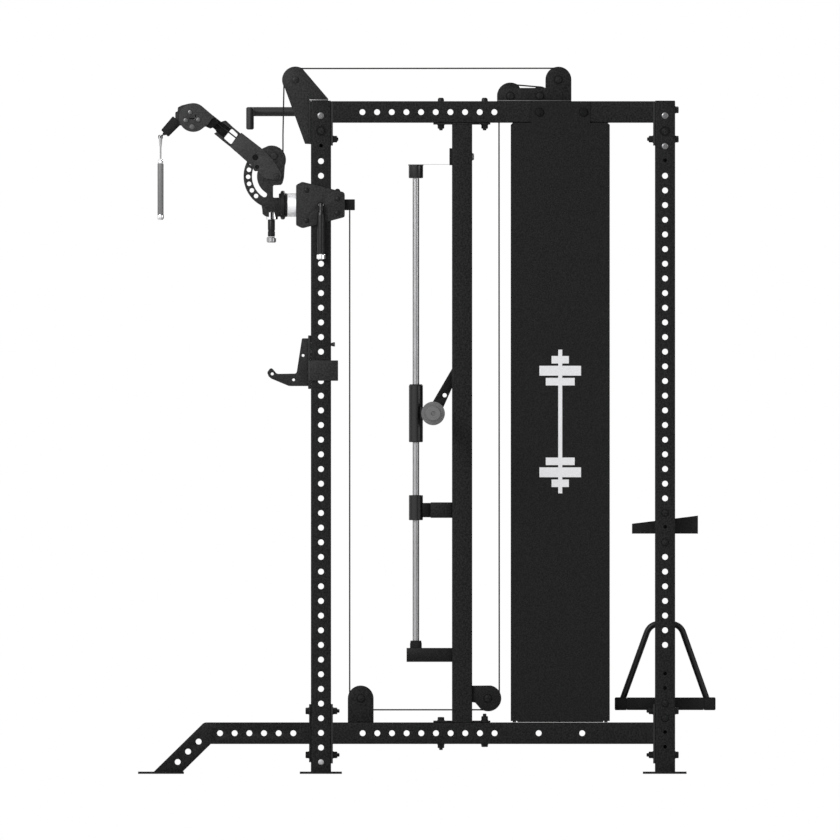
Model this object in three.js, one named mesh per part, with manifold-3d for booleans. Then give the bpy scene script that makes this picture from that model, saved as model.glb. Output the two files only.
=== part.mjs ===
// Power cage with twin pulley trainers, a smith machine, weight stacks and storage. Units: mm.
// Z is up, the user enters from -Y, and X runs across the cage. Both sides are alike, so every
// side piece is built once for side = +1 (right) and once for side = -1 (left).
import * as THREE from 'three';
import { mergeVertices } from 'three/addons/utils/BufferGeometryUtils.js';
import Module from 'manifold-3d';

const wasm = await Module();
wasm.setup();

// ---- driving dimensions -------------------------------------------------------------------
const SIDE_X = 580;            // centre plane of each side frame
const POST = 70;               // square upright tube
const HALF = POST / 2;
const RAIL_H = 75;             // height of the horizontal tubes
const GAP = 0.3;               // clearance between neighbouring solids
const PLATE = 6;               // flange and foot plate thickness
const PITCH = 50.8;            // hole pitch
const HOLE_R = 11;             // hole radius
const HOLES = 45;              // side holes in one upright
const HOLE_Z0 = 40.4;          // lowest side hole
const POST_H = 2333;           // height of the uprights
const FRONT_Y = -370.1;        // centre of the front uprights
const REAR_Y = 822.1;          // centre of the rear uprights
const MID_Y = 118.9;           // centre of the smith uprights
const BASE_Z = 103.5;          // underside of the base rails
const TOP_Z = 2256;            // underside of the top rails
const DATUM_Y = 3.4;           // moves the datum plane so that the box is centred on Y = 0
const CABLE_R = 2.5;           // steel cable with its sleeve
const PULLEY_R = 39.5;         // cable centre line on the large pulleys
const CHEEK = { near: 16, far: 21 };   // pulley side plates, measured from the side plane

const ROD_Y = -41.2;           // smith guide rod
const ROD_R = 11.5;
const BAR = { y: 18.4, z: 1249, r: 14, half: 1050 };
const PEG = { z0: 553.2, pitch: 101.6, count: 15, r: 8 };

const SLIDE_Z = 1970.8;        // centre of the trainer carriage
const PIVOT = { y: -524.5, z: 2070.5 };        // arm pitch axis
const ARM_PULLEY = { y: -532.8, z: 2141, r: 31 };   // pulley at the arm's root
const HEAD = { y: -812.7, z: 2274.3 };         // pulley at the arm's tip
const HANDLE_Y = -926;

const HORN = { y: -458.5, z: 2404.6 };         // top-front pulley
const TOWER = { y: 453.1, z: 2404.6 };         // rear pulley on the top rail
const FALL = { y: 287.1, z: 2349 };            // pulley over the return fall
const RISE = { y: 388.5, z: 2349 };            // pulley over the stack's rising cable
const STACK = { y: 460.3, z: 815, r: 32.2 };   // pulley on top of the weight stack
const FOOT_FRONT = { y: -231.1, z: 261.6 };    // pulley at the front of the base rail
const FOOT_REAR = { y: 208.1, z: 261.6 };      // pulley behind the smith upright

// ---- materials ----------------------------------------------------------------------------
const FINISHES = {
  frame: { color: 0x262628, roughness: 0.55, metalness: 0.25 },
  plate: { color: 0x38383a, roughness: 0.5, metalness: 0.3 },
  arm: { color: 0x454547, roughness: 0.5, metalness: 0.3 },
  steel: { color: 0xb9bbbe, roughness: 0.25, metalness: 0.9 },
  sleeve: { color: 0x6f7072, roughness: 0.4, metalness: 0.6 },
  rubber: { color: 0x1c1c1d, roughness: 0.85, metalness: 0 },
  plastic: { color: 0x202022, roughness: 0.6, metalness: 0 },
  cable: { color: 0x222224, roughness: 0.5, metalness: 0.1 },
  iron: { color: 0x2d2d2f, roughness: 0.7, metalness: 0.4 },
};

const cage = new THREE.Group();
cage.position.y = DATUM_Y;

// ---- solids -------------------------------------------------------------------------------
function solid(geometry) {
  geometry.deleteAttribute('normal');
  geometry.deleteAttribute('uv');
  const merged = mergeVertices(geometry, 1e-4);
  const mesh = new wasm.Mesh({
    numProp: 3,
    vertProperties: new Float32Array(merged.attributes.position.array),
    triVerts: new Uint32Array(merged.index.array),
  });
  return new wasm.Manifold(mesh);
}

function join(...solids) {
  return solids.flat(2).reduce((whole, piece) => whole.add(piece));
}

function cut(whole, ...tools) {
  return tools.flat().reduce((rest, tool) => rest.subtract(tool), whole);
}

function place(name, shape, finish) {
  const mesh = shape.getMesh();
  const geometry = new THREE.BufferGeometry();
  geometry.setAttribute('position', new THREE.BufferAttribute(mesh.vertProperties, 3));
  geometry.setIndex(new THREE.BufferAttribute(mesh.triVerts, 1));
  geometry.computeVertexNormals();
  const piece = new THREE.Mesh(geometry, new THREE.MeshStandardMaterial(FINISHES[finish]));
  piece.name = name;
  cage.add(piece);
}

function box([x0, x1], [y0, y1], [z0, z1]) {
  const geometry = new THREE.BoxGeometry(x1 - x0, y1 - y0, z1 - z0);
  geometry.translate((x0 + x1) / 2, (y0 + y1) / 2, (z0 + z1) / 2);
  return solid(geometry);
}

// A cylinder between two points; the end radius may differ.
function rod(from, to, radius, sides = 16, endRadius = radius) {
  const start = new THREE.Vector3(...from);
  const way = new THREE.Vector3(...to).sub(start);
  const geometry = new THREE.CylinderGeometry(endRadius, radius, way.length(), sides);
  const up = new THREE.Vector3(0, 1, 0);
  geometry.applyQuaternion(new THREE.Quaternion().setFromUnitVectors(up, way.clone().normalize()));
  const middle = start.addScaledVector(way, 0.5);
  geometry.translate(middle.x, middle.y, middle.z);
  return solid(geometry);
}

// A hex through-hole tool, with its corners on the round hole that it stands for.
function drill(from, to, radius = HOLE_R) {
  return rod(from, to, radius, 6);
}

// An outline of [y, z] points swept from x0 to x1. An outline may also be a THREE.Shape.
function slab(outline, [x0, x1], arcSteps = 6) {
  const shape = Array.isArray(outline)
    ? new THREE.Shape(outline.map(([y, z]) => new THREE.Vector2(y, z))) : outline;
  const settings = { depth: x1 - x0, bevelEnabled: false, curveSegments: arcSteps };
  const geometry = new THREE.ExtrudeGeometry(shape, settings);
  const basis = new THREE.Matrix4().makeBasis(
    new THREE.Vector3(0, 1, 0), new THREE.Vector3(0, 0, 1), new THREE.Vector3(1, 0, 0));
  geometry.applyMatrix4(basis);
  geometry.translate(x0, 0, 0);
  return solid(geometry);
}

// Straight stretches between hand-placed points, with a mitred section at each point.
class Polyline extends THREE.Curve {
  constructor(points) {
    super();
    this.points = points;
  }

  at(index) {
    return this.points[THREE.MathUtils.clamp(index, 0, this.points.length - 1)];
  }

  getPointAt(u) {
    return this.at(Math.round(u * (this.points.length - 1))).clone();
  }

  getTangentAt(u) {
    const i = Math.round(u * (this.points.length - 1));
    const into = this.at(i).clone().sub(this.at(i - 1)).normalize();
    const onward = this.at(i + 1).clone().sub(this.at(i)).normalize();
    return into.add(onward).normalize();
  }
}

// A round bar that follows straight lines through the points.
function bentBar(points, radius, sides = 10) {
  const path = new Polyline(points.map((p) => new THREE.Vector3(...p)));
  const ring = Array.from({ length: sides }, (_, i) => {
    const angle = (2 * Math.PI * (i + 0.5)) / sides;
    return new THREE.Vector2(radius * Math.cos(angle), radius * Math.sin(angle));
  });
  const steps = points.length - 1;
  return solid(new THREE.ExtrudeGeometry(new THREE.Shape(ring), { steps, extrudePath: path }));
}

// A point on a circle in the side plane; degrees run from +Y towards +Z.
function onCircle(centre, radius, degrees) {
  const angle = THREE.MathUtils.degToRad(degrees);
  return [centre.y + radius * Math.cos(angle), centre.z + radius * Math.sin(angle)];
}

function arcPoints(centre, radius, from, to, steps) {
  return Array.from({ length: steps + 1 },
    (_, i) => onCircle(centre, radius, from + ((to - from) * i) / steps));
}

// One cable through [y, z] points in a side plane, straight between neighbours.
function cable(x, points) {
  const sweep = points.map(([y, z]) => [x, y, z]);
  return bentBar(sweep, CABLE_R, 6);
}

// Spans given from the side plane outwards, turned into world X for either side.
function span(side, near, far) {
  const a = side * (SIDE_X + near);
  const b = side * (SIDE_X + far);
  return a < b ? [a, b] : [b, a];
}

function bothCheeks(side, outline, near = CHEEK.near, far = CHEEK.far) {
  return [slab(outline, span(side, near, far)), slab(outline, span(side, -far, -near))];
}

// ---- uprights -----------------------------------------------------------------------------
function sideHoles(side, ys, zs) {
  const reach = HALF + 5;
  const [x0, x1] = span(side, -reach, reach);
  return ys.flatMap((y) => zs.map((z) => drill([x0, y, z], [x1, y, z])));
}

function upright(side, y, footSpan, extra = []) {
  const tube = box(span(side, -HALF, HALF), [y - HALF, y + HALF], [PLATE, POST_H]);
  const foot = box(span(side, -60, 60), footSpan, [0, PLATE + 2]);
  const zs = Array.from({ length: HOLES }, (_, k) => HOLE_Z0 + PITCH * k);
  return cut(join(tube, foot), sideHoles(side, [y], zs), extra);
}

const CUP_PIN_Z = 1488.2;      // front-face hole that takes the bar holder's pin

function uprights(side, tag) {
  const x = side * SIDE_X;
  const pinHole = drill([x, FRONT_Y - 40, CUP_PIN_Z], [x, FRONT_Y + 40, CUP_PIN_Z]);
  place(`front_upright_${tag}`, upright(side, FRONT_Y, [-443.5, -297.6], [pinHole]), 'frame');
  place(`rear_upright_${tag}`, upright(side, REAR_Y, [745.3, 896.7]), 'frame');
}

// ---- rails --------------------------------------------------------------------------------
const RAIL_FROM = FRONT_Y + HALF + GAP;
const RAIL_TO = REAR_Y - HALF - GAP;

function railWithFlanges(side, z0, flange) {
  const width = span(side, -HALF, HALF);
  return join(
    box(width, [RAIL_FROM, RAIL_TO], [z0, z0 + RAIL_H]),
    box(width, [RAIL_FROM, RAIL_FROM + PLATE], flange),
    box(width, [RAIL_TO - PLATE, RAIL_TO], flange));
}

function cableSlot(side, y, z0, z1) {
  return box(span(side, -8, 8), [y - 9, y + 9], [z0, z1]);
}

// The pulley tower's side plate: a lobe over the return fall, a ramp and the tall rear housing.
function towerOutline() {
  const root = TOP_Z + RAIL_H - 1;
  return [
    [FALL.y - 46, root],
    ...arcPoints(FALL, 46, 175, 90, 4),
    [330, 2389], [405, 2381], [407.8, 2438], [421, 2451], [483, 2451], [495.9, 2438],
    [495.9, root],
  ];
}

function topRail(side, tag) {
  const rowY = Array.from({ length: 10 }, (_, k) => -226.5 + PITCH * k);
  const slots = [247.6, 428.1, 492.6].map((y) => cableSlot(side, y, TOP_Z - 5, TOP_Z + RAIL_H + 5));
  const rail = cut(railWithFlanges(side, TOP_Z, [2177, TOP_Z + RAIL_H]),
    sideHoles(side, rowY, [2293]), slots);
  place(`top_rail_${tag}`, join(rail, bothCheeks(side, towerOutline())), 'frame');
}

function baseRail(side, tag) {
  const rowY = Array.from({ length: 10 }, (_, k) => -225.7 + PITCH * k).concat([384.3, 535]);
  const housing = [
    [-277.2, BASE_Z + RAIL_H - 1], [-277.2, FOOT_FRONT.z],
    ...arcPoints({ y: -232.5, z: FOOT_FRONT.z }, 44.7, 165, 15, 6),
    [-187.8, FOOT_FRONT.z], [-187.8, BASE_Z + RAIL_H - 1],
  ];
  const rail = cut(railWithFlanges(side, BASE_Z, [36, 242]),
    sideHoles(side, rowY, [BASE_Z + RAIL_H / 2]));
  place(`base_rail_${tag}`, join(rail, bothCheeks(side, housing)), 'frame');
}

// Front foot: runs level, then drops at 45 degrees to a foot plate.
function outrigger(side, tag) {
  const back = FRONT_Y - HALF - GAP;
  const level = [
    [back, BASE_Z], [back, BASE_Z + RAIL_H], [-779, BASE_Z + RAIL_H], [-949, 8],
    [-949, 2], [-848, 2], [-752, BASE_Z],
  ];
  const holesY = Array.from({ length: 6 }, (_, k) => -466 - PITCH * k);
  const slope = [[-866.5, 41.4], [-830.6, 77.3], [-794, 111.9]];
  const sloped = slope.flatMap(([y, z]) => sideHoles(side, [y], [z]));
  const body = join(
    slab(level, span(side, -HALF, HALF)),
    box(span(side, -HALF, HALF), [back - PLATE, back], [40, 242]),
    box(span(side, -55, 55), [-1004, -845], [0, 8]));
  place(`outrigger_${tag}`,
    cut(body, sideHoles(side, holesY, [BASE_Z + RAIL_H / 2]), sloped), 'frame');
}

// ---- cross members ------------------------------------------------------------------------
const INNER_X = SIDE_X - HALF - GAP;

function crossBeam(name, y, z0, flange) {
  const depth = [y - HALF, y + HALF];
  place(name, join(
    box([-INNER_X, INNER_X], depth, [z0, z0 + RAIL_H]),
    box([-INNER_X, PLATE - INNER_X], depth, flange),
    box([INNER_X - PLATE, INNER_X], depth, flange)), 'frame');
}

function pullUpBar() {
  const z = 2295.5;
  const tip = -617;
  const start = FRONT_Y - HALF - GAP;
  const arms = [-300, 300].flatMap((x) => [
    rod([x, start, z], [x, tip, z], 16.8),
    box([x - 40, x + 40], [start - PLATE, start], [2262, 2327]),
  ]);
  const grip = bentBar([
    [-430, tip, 2229], [-430, tip, 2275], [-409, tip, z],
    [409, tip, z], [430, tip, 2275], [430, tip, 2229]], 13.35, 12);
  place('pull_up_bar', join(arms, grip), 'plate');
}

// ---- smith machine ------------------------------------------------------------------------
function smithUpright(side, tag) {
  const x = side * SIDE_X;
  const foot = BASE_Z + RAIL_H + GAP;
  const head = TOP_Z - GAP;
  const flangeY = [19, 217];
  const wide = span(side, -HALF, HALF);
  const bracket = span(side, -30, 30);
  const face = MID_Y - HALF;
  const rearArm = [
    [MID_Y + HALF - 1, 247], [MID_Y + HALF - 1, 306],
    ...arcPoints({ y: 209.3, z: 262 }, 45.4, 75, -75, 8), [180, 232], [160, 247],
  ];
  const pegs = Array.from({ length: PEG.count }, (_, k) => {
    const z = PEG.z0 + PEG.pitch * k;
    return rod([x - side * (HALF - 2), MID_Y, z], [x - side * 62, MID_Y, z], PEG.r, 6);
  });
  const body = join(
    box(wide, [face, MID_Y + HALF], [foot, head]),
    box(wide, flangeY, [foot, foot + PLATE]),
    box(wide, flangeY, [head - PLATE, head]),
    box(bracket, [face - 9, face + 1], [2109, 2168]),
    box(bracket, [ROD_Y - 27, face], [2109, 2114]),
    rod([x, ROD_Y, 2064], [x, ROD_Y, 2110], 27),
    box(span(side, -25, 25), [ROD_Y - 32.4, face + 1], [388, 436.5]),
    bothCheeks(side, rearArm), pegs);
  const slot = box(span(side, -8, 8), [face - 5, MID_Y + HALF + 5], [212, 232]);
  place(`smith_upright_${tag}`, cut(body, slot), 'frame');
  place(`smith_guide_rod_${tag}`,
    rod([x, ROD_Y, 436.5 + GAP], [x, ROD_Y, 2064 - GAP], ROD_R), 'steel');
}

function smithCarriage(side, tag) {
  const x = side * SIDE_X;
  const sleeve = rod([x, ROD_Y, 1150], [x, ROD_Y, 1347], 23.5);
  const block = box(span(side, -22, 22), [ROD_Y + 8, BAR.y + 26], [BAR.z - 34, BAR.z + 34]);
  const [x0, x1] = span(side, -30, 30);
  place(`smith_carriage_${tag}`, cut(join(sleeve, block),
    rod([x, ROD_Y, 1140], [x, ROD_Y, 1357], ROD_R + 1),
    rod([x0, BAR.y, BAR.z], [x1, BAR.y, BAR.z], BAR.r + 1)), 'plate');
}

function smithBar() {
  const stations = [
    [BAR.half, 24], [BAR.half - 2, 25], [632, 25], [632, 41], [626, 41], [626, BAR.r],
  ];
  const profile = [
    new THREE.Vector2(0, -BAR.half),
    ...stations.map(([x, r]) => new THREE.Vector2(r, -x)),
    ...stations.slice().reverse().map(([x, r]) => new THREE.Vector2(r, x)),
    new THREE.Vector2(0, BAR.half),
  ];
  const geometry = new THREE.LatheGeometry(profile, 16);
  geometry.rotateZ(-Math.PI / 2);
  geometry.translate(0, BAR.y, BAR.z);
  place('smith_bar', solid(geometry), 'sleeve');
}

// Claw that swings from the bar over the pegs on the upright's inner face.
function smithHook(side, tag) {
  const outline = [
    ...arcPoints(BAR, 30, 125, 385, 12),
    [54.4, 1271], [83.9, 1337], [88, 1345], [92, 1360], [92, 1385], [100, 1400],
    [105, 1424], [98, 1428], [83.9, 1404], [16.3, 1288],
  ];
  const plate = slab(outline, span(side, -46, -38));
  const [x0, x1] = span(side, -50, -30);
  place(`smith_hook_${tag}`, cut(plate,
    rod([x0, BAR.y, BAR.z], [x1, BAR.y, BAR.z], BAR.r + 1),
    rod([x0, 61.7, 1310.8], [x1, 61.7, 1310.8], 7.8, 8)), 'plate');
}

function safetyStop(side, tag) {
  const x = side * SIDE_X;
  const collar = rod([x, ROD_Y, 879], [x, ROD_Y, 966], 23.5);
  const arm = box(span(side, -20, 20), [ROD_Y + 8, MID_Y - HALF - GAP], [887, 941]);
  const lug = [
    box(span(side, -46, -19), [40, MID_Y - HALF - 4], [887, 941]),
    box(span(side, -46, -HALF - 1), [40, MID_Y - PEG.r - 4], [887, 941]),
  ];
  place(`safety_stop_${tag}`,
    cut(join(collar, arm, lug), rod([x, ROD_Y, 870], [x, ROD_Y, 975], ROD_R + 1)), 'plate');
}

// ---- weight stack -------------------------------------------------------------------------
const STACK_RODS_Y = [360, 560.6];
const SHROUD_Y = [287.3, 630.6];

function weightStack(side, tag) {
  const x = side * SIDE_X;
  const plates = box(span(side, -31, 31), [310, 608], [196, 720]);
  const cheek = [[430, 720], [430, 815], [445, 850], [475, 850], [490, 815], [490, 720]];
  const body = join(plates, bothCheeks(side, cheek, 14, 19));
  const bores = STACK_RODS_Y.map((y) => rod([x, y, 190], [x, y, 730], 10.5, 12));
  place(`weight_stack_${tag}`, cut(body, bores), 'iron');

  const base = BASE_Z + RAIL_H + GAP;
  const guides = STACK_RODS_Y.map((y) => rod([x, y, base], [x, y, TOP_Z - GAP], 9, 12));
  place(`stack_guide_${tag}`,
    join(guides, box(span(side, -31, 31), [310, 608], [base, 194])), 'steel');
}

function shroud(side, tag) {
  const wall = 3;
  const outer = HALF + GAP + wall;
  const z0 = 183;
  const z1 = TOP_Z - GAP;
  const shell = cut(
    box(span(side, -outer, outer), SHROUD_Y, [z0, z1]),
    box(span(side, wall - outer, outer - wall), [SHROUD_Y[0] + wall, SHROUD_Y[1] - wall],
      [z0 - 5, z1 + 5]));
  const tab = box(span(side, outer - wall, outer), [359, 562], [z1 - 20, 2330.7]);
  place(`shroud_${tag}`, join(shell, tab), 'plate');
}

// ---- cables and pulleys -------------------------------------------------------------------
function grooved(name, side, centre, radius) {
  const groove = radius - CABLE_R - 0.6;
  const profile = [
    [6, -11], [radius + 2, -11], [groove, -3.4], [groove, 3.4], [radius + 2, 11], [6, 11],
    [6, -11],
  ].map(([r, offset]) => new THREE.Vector2(r, offset));
  const geometry = new THREE.LatheGeometry(profile, 16);
  geometry.rotateZ(-Math.PI / 2);
  geometry.translate(side * SIDE_X, centre.y, centre.z);
  place(name, solid(geometry), 'plastic');
}

const RUN_TOP_Z = HORN.z + PULLEY_R;       // level run over the cage
const FALL_Y = FALL.y - PULLEY_R;          // rear vertical run
const LIFT_Y = -270.6;                     // front vertical run
const BASE_RUN_Z = FOOT_REAR.z - PULLEY_R; // level run under the side
const ARM_DROP_Y = ARM_PULLEY.y + ARM_PULLEY.r;    // run in front of the upright

function cables(side, tag) {
  const x = side * SIDE_X;
  const main = [
    [HORN.y, RUN_TOP_Z], ...arcPoints(TOWER, PULLEY_R, 90, 0, 6),
    ...arcPoints(STACK, STACK.r, 0, -180, 8),
    ...arcPoints(RISE, PULLEY_R, 0, 90, 6), ...arcPoints(FALL, PULLEY_R, 90, 180, 6),
    ...arcPoints(FOOT_REAR, PULLEY_R, 0, -90, 6),
    ...arcPoints(FOOT_FRONT, PULLEY_R, -90, -180, 6),
  ];
  place(`main_cable_${tag}`, cable(x, main), 'cable');
  const drop = [...arcPoints(HORN, PULLEY_R, 94, 180, 6), [ARM_DROP_Y, ARM_PULLEY.z]];
  place(`upper_cable_drop_${tag}`, cable(x, drop), 'cable');
  place(`lower_cable_drop_${tag}`,
    cable(x, [[LIFT_Y, FOOT_FRONT.z + 6], [LIFT_Y, SLIDE_Z - 18 - GAP]]), 'cable');
  grooved(`top_front_pulley_${tag}`, side, HORN, PULLEY_R);
}

// Side plates that carry the top-front pulley, closed around the upright's top corner.
function pulleyHorn(side, tag) {
  const face = FRONT_Y - HALF - GAP;
  const cap = POST_H + GAP;
  const outline = [
    [face, 2182], [face, cap], [-344.8, cap], [-344.8, 2339],
    ...arcPoints(HORN, 46.5, 59.5, 217, 9), [-425.5, 2183],
  ];
  const plates = bothCheeks(side, outline);
  const back = box(span(side, -30, 30), [face - 5, face], [2182, cap + 5]);
  const top = box(span(side, -30, 30), [face - 5, -344.8], [cap, cap + 5]);
  place(`pulley_horn_${tag}`, join(plates, back, top), 'plate');
}

// ---- pulley trainer -----------------------------------------------------------------------
// Two plates and two blocks that close around the front upright, and the swivel tube.
function trainerCarriage(side, tag) {
  const outline = [
    [-456.5, 2040.5], [-456.5, 1901.6], [-433.5, 1890.9], [-292.4, 1927.9],
    [-287.6, 1929.3], [-287.6, 2012.5], [-335.4, 2027.4], [-433.5, 2051.3],
  ];
  const front = box(span(side, -37, 37), [-456.5, FRONT_Y - HALF - 1], [1902, 2040]);
  const rear = box(span(side, -37, 37), [FRONT_Y + HALF + 1, -287.6], [1935, 2006]);
  const anchor = box(span(side, -16, 16), [-289, -252.6], [1953, 1991]);
  const x = side * SIDE_X;
  const tube = rod([x, -455, SLIDE_Z], [x, -486.2, SLIDE_Z], 40.5, 20);
  const [x0, x1] = span(side, 30, 50);
  const pinHole = rod([x0, FRONT_Y, SLIDE_Z], [x1, FRONT_Y, SLIDE_Z], 9, 12);
  place(`trainer_carriage_${tag}`,
    cut(join(bothCheeks(side, outline, 36, 42), front, rear, anchor, tube), pinHole), 'plate');
}

function lockLever(side, tag) {
  const at = (out) => side * (SIDE_X + out);
  const pin = rod([at(37), FRONT_Y, SLIDE_Z], [at(56), FRONT_Y, SLIDE_Z], 8, 12);
  const grip = rod([at(56), FRONT_Y, 1983], [at(56), FRONT_Y, 1800], 11.5, 12);
  const tip = rod([at(56), FRONT_Y, 1801], [at(56), FRONT_Y, 1782], 15.5, 12);
  place(`lock_lever_${tag}`, join(pin, grip, tip), 'plastic');
}

const INDEX = { count: 7, first: 137.9, step: 14.35, radius: 98, hole: 7.6 };

// Twin index plates: pitch holes, a stop slot and the housing of the arm's root pulley.
function swivelYoke(side, tag) {
  const x = side * SIDE_X;
  const shape = new THREE.Shape([
    [-516, 1997], [-536, 1997], [-536, 2039], [-508, 2039], [-498, 2065],
    ...arcPoints({ y: -541.3, z: 2127.5 }, 50, 0, 105, 5),
    ...arcPoints(PIVOT, 114, 133, 243, 9),
    [-573, 1957], [-572, 1938], [-562, 1930], [-516, 1930],
  ].map(([y, z]) => new THREE.Vector2(y, z)));
  const slot = [...arcPoints(PIVOT, 84.6, 155, 246, 6), ...arcPoints(PIVOT, 67.4, 246, 155, 6)];
  shape.holes.push(new THREE.Path(slot.map(([y, z]) => new THREE.Vector2(y, z))));
  const plates = bothCheeks(side, shape, 12, 17);
  const neck = box(span(side, -17, 17), [-573, -515], [1946, 1996]);
  const ring = rod([x, -516.3, SLIDE_Z], [x, -486.5, SLIDE_Z], 43, 20);
  const rim = rod([x, -509, SLIDE_Z], [x, -496, SLIDE_Z], 51, 20);
  const nut = rod([x, -541.9, 1950], [x, -541.9, 1921], 20, 12);
  const [x0, x1] = span(side, -20, 20);
  const holes = Array.from({ length: INDEX.count }, (_, k) => {
    const [y, z] = onCircle(PIVOT, INDEX.radius, INDEX.first + INDEX.step * k);
    return rod([x0, y, z], [x1, y, z], INDEX.hole, 6);
  });
  place(`swivel_yoke_${tag}`, cut(join(plates, neck, ring, rim, nut), holes), 'plate');
  const stem = rod([x, -541.9, 1920.7], [x, -541.9, 1861], 12.5, 12);
  const knob = rod([x, -541.9, 1862], [x, -541.9, 1841], 16.3, 12);
  place(`pull_pin_${tag}`, join(stem, knob), 'steel');
}

// Two side plates, a narrower neck and the tip pulley's head with its cable boot.
function trainerArm(side, tag) {
  const plate = [
    [-685.7, 2174], [-589.5, 2088], [-563, 2062], [-513, 2058], [-506.5, 2078],
    [-520, 2114], [-548, 2150], [-583, 2177], [-645.9, 2221.9],
  ];
  const neck = [
    [-738, 2217], [-725, 2203], [-665, 2155], [-645, 2176], [-625, 2200], [-648, 2219],
    [-712, 2270], [-770, 2312], [-786, 2308], [-795, 2262], [-757, 2240], [-748, 2234],
  ];
  const window = [[-677.7, 2233.5], [-655.3, 2214.3], [-680.9, 2182.2], [-706.5, 2203.1]];
  const [w0, w1] = span(side, -30, 30);
  const x = side * SIDE_X;
  const sides = bothCheeks(side, plate, 18, 24);
  const inner = bothCheeks(side, neck, 12, 18.5);
  const bridge = slab([[-738, 2217], [-712, 2270], [-740, 2291], [-765, 2243]], span(side, -18, 18));
  const passage = rod([x, -700, 2196], [x, -790, 2268], 6, 8);
  const headPlates = [
    rod([x - 24, HEAD.y, HEAD.z], [x - 12, HEAD.y, HEAD.z], 50, 20),
    rod([x + 12, HEAD.y, HEAD.z], [x + 24, HEAD.y, HEAD.z], 50, 20),
  ];
  const boot = rod([x, -868.4, 2265.8], [x, -911.75, 2219], 19.5, 12, 17.2);
  const bootSeat = box(span(side, -20, 20), [-876, -850], [2262, 2294]);
  const bore = rod([x, -838.4, 2298.1], [x, -925.4, 2204.3], 4.5, 8);
  place(`trainer_arm_${tag}`, cut(
    join(sides, inner, bridge, headPlates, boot, bootSeat),
    slab(window, [w0, w1]), passage, bore), 'arm');
}

function handle(side, tag) {
  const x = side * SIDE_X;
  place(`cable_link_${tag}`, join(
    rod([x, HANDLE_Y, 2216], [x, HANDLE_Y, 2198], 7, 10),
    rod([x, HANDLE_Y, 2199], [x, HANDLE_Y, 2137.5], 3, 6)), 'steel');
  place(`handle_${tag}`, join(
    rod([x, HANDLE_Y, 2114], [x, HANDLE_Y, 2130.5], 8, 12, 3),
    rod([x, HANDLE_Y, 2115], [x, HANDLE_Y, 1936], 10.5, 12),
    rod([x, HANDLE_Y, 1937], [x, HANDLE_Y, 1920], 11.5, 12)), 'sleeve');
}

// ---- bar holder ---------------------------------------------------------------------------
function barHolder(side, tag) {
  const hook = [
    [-412, 1509.4], [-436.6, 1509.4], [-456, 1386.7], [-523.2, 1386.7], [-539.2, 1406.1],
    [-556.1, 1392.2], [-546.1, 1370.8], [-482.3, 1344.4], [-412, 1343.7],
  ];
  const tray = [[-456, 1386.7], [-523.2, 1386.7], [-539, 1372], [-482, 1348], [-430, 1348]];
  const x = side * SIDE_X;
  const face = FRONT_Y - HALF - GAP;
  place(`bar_holder_${tag}`, join(
    bothCheeks(side, hook, 19, 25),
    slab(tray, span(side, -20, 20)),
    box(span(side, -42, 42), [face - 9, face], [1362, 1432.8]),
    box(span(side, -30, 30), [face - 9, face], [1333.7, 1519.4]),
    box(span(side, 36, 42), [face - 1, -310.8], [1362, 1432.8]),
    rod([x, face - 8, CUP_PIN_Z], [x, -320.5, CUP_PIN_Z], 6.5, 12)), 'plate');
}

// ---- storage at the back ------------------------------------------------------------------
function accessoryShelf() {
  const tray = [
    [707.6, 832.5], [936, 832.5], [936, 894.7], [930, 894.7], [930, 838.5],
    [713.6, 838.5], [713.6, 867], [707.6, 867],
  ];
  const end = [[707.6, 832.5], [936, 832.5], [936, 894.7], [707.6, 867]];
  const ends = [[-INNER_X, PLATE - INNER_X], [INNER_X - PLATE, INNER_X]].flatMap((reach) => [
    slab(end, reach),
    box(reach, [REAR_Y - 32, REAR_Y + 32], [806, 907]),
  ]);
  place('accessory_shelf', join(slab(tray, [-INNER_X, INNER_X]), ends), 'plate');
}

function plateRack() {
  const z = [220.7, 265.4];
  const reach = 535;
  const stations = Array.from({ length: 5 }, (_, k) => -480 + 240 * k);
  const pieces = stations.flatMap((x) => [
    box([x - 15, x + 15], [650, 995], [z[0], z[1] - 10]),
    bentBar([[x, 677, 250], [x, 770, 520], [x, 874, 520], [x, 967, 250]], 10.75, 8),
  ]);
  place('plate_rack', join(
    box([-reach, reach], [647.6, 690], z), box([-reach, reach], [955, 997.2], z), pieces), 'frame');
}

// ---- assembly -----------------------------------------------------------------------------
crossBeam('front_cross_beam', FRONT_Y, TOP_Z, [2196, TOP_Z + RAIL_H]);
crossBeam('rear_cross_beam', REAR_Y, TOP_Z, [2153, TOP_Z + RAIL_H]);
crossBeam('rear_base_beam', REAR_Y, 145, [145, 270]);
pullUpBar();
smithBar();
accessoryShelf();
plateRack();
for (const [side, tag] of [[1, 'right'], [-1, 'left']]) {
  uprights(side, tag);
  topRail(side, tag);
  baseRail(side, tag);
  outrigger(side, tag);
  smithUpright(side, tag);
  smithCarriage(side, tag);
  smithHook(side, tag);
  safetyStop(side, tag);
  weightStack(side, tag);
  shroud(side, tag);
  cables(side, tag);
  pulleyHorn(side, tag);
  trainerCarriage(side, tag);
  lockLever(side, tag);
  swivelYoke(side, tag);
  trainerArm(side, tag);
  handle(side, tag);
  barHolder(side, tag);
}

export default cage;
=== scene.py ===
# Looks of the power cage. Shapes are given in mm in the part's own drawing: X across, Z up from
# the floor, and Y from a datum plane. The helper place() turns them into the frame's metres.
import math
import bmesh
import bpy
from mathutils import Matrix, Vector
from mathutils.geometry import tessellate_polygon


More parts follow.
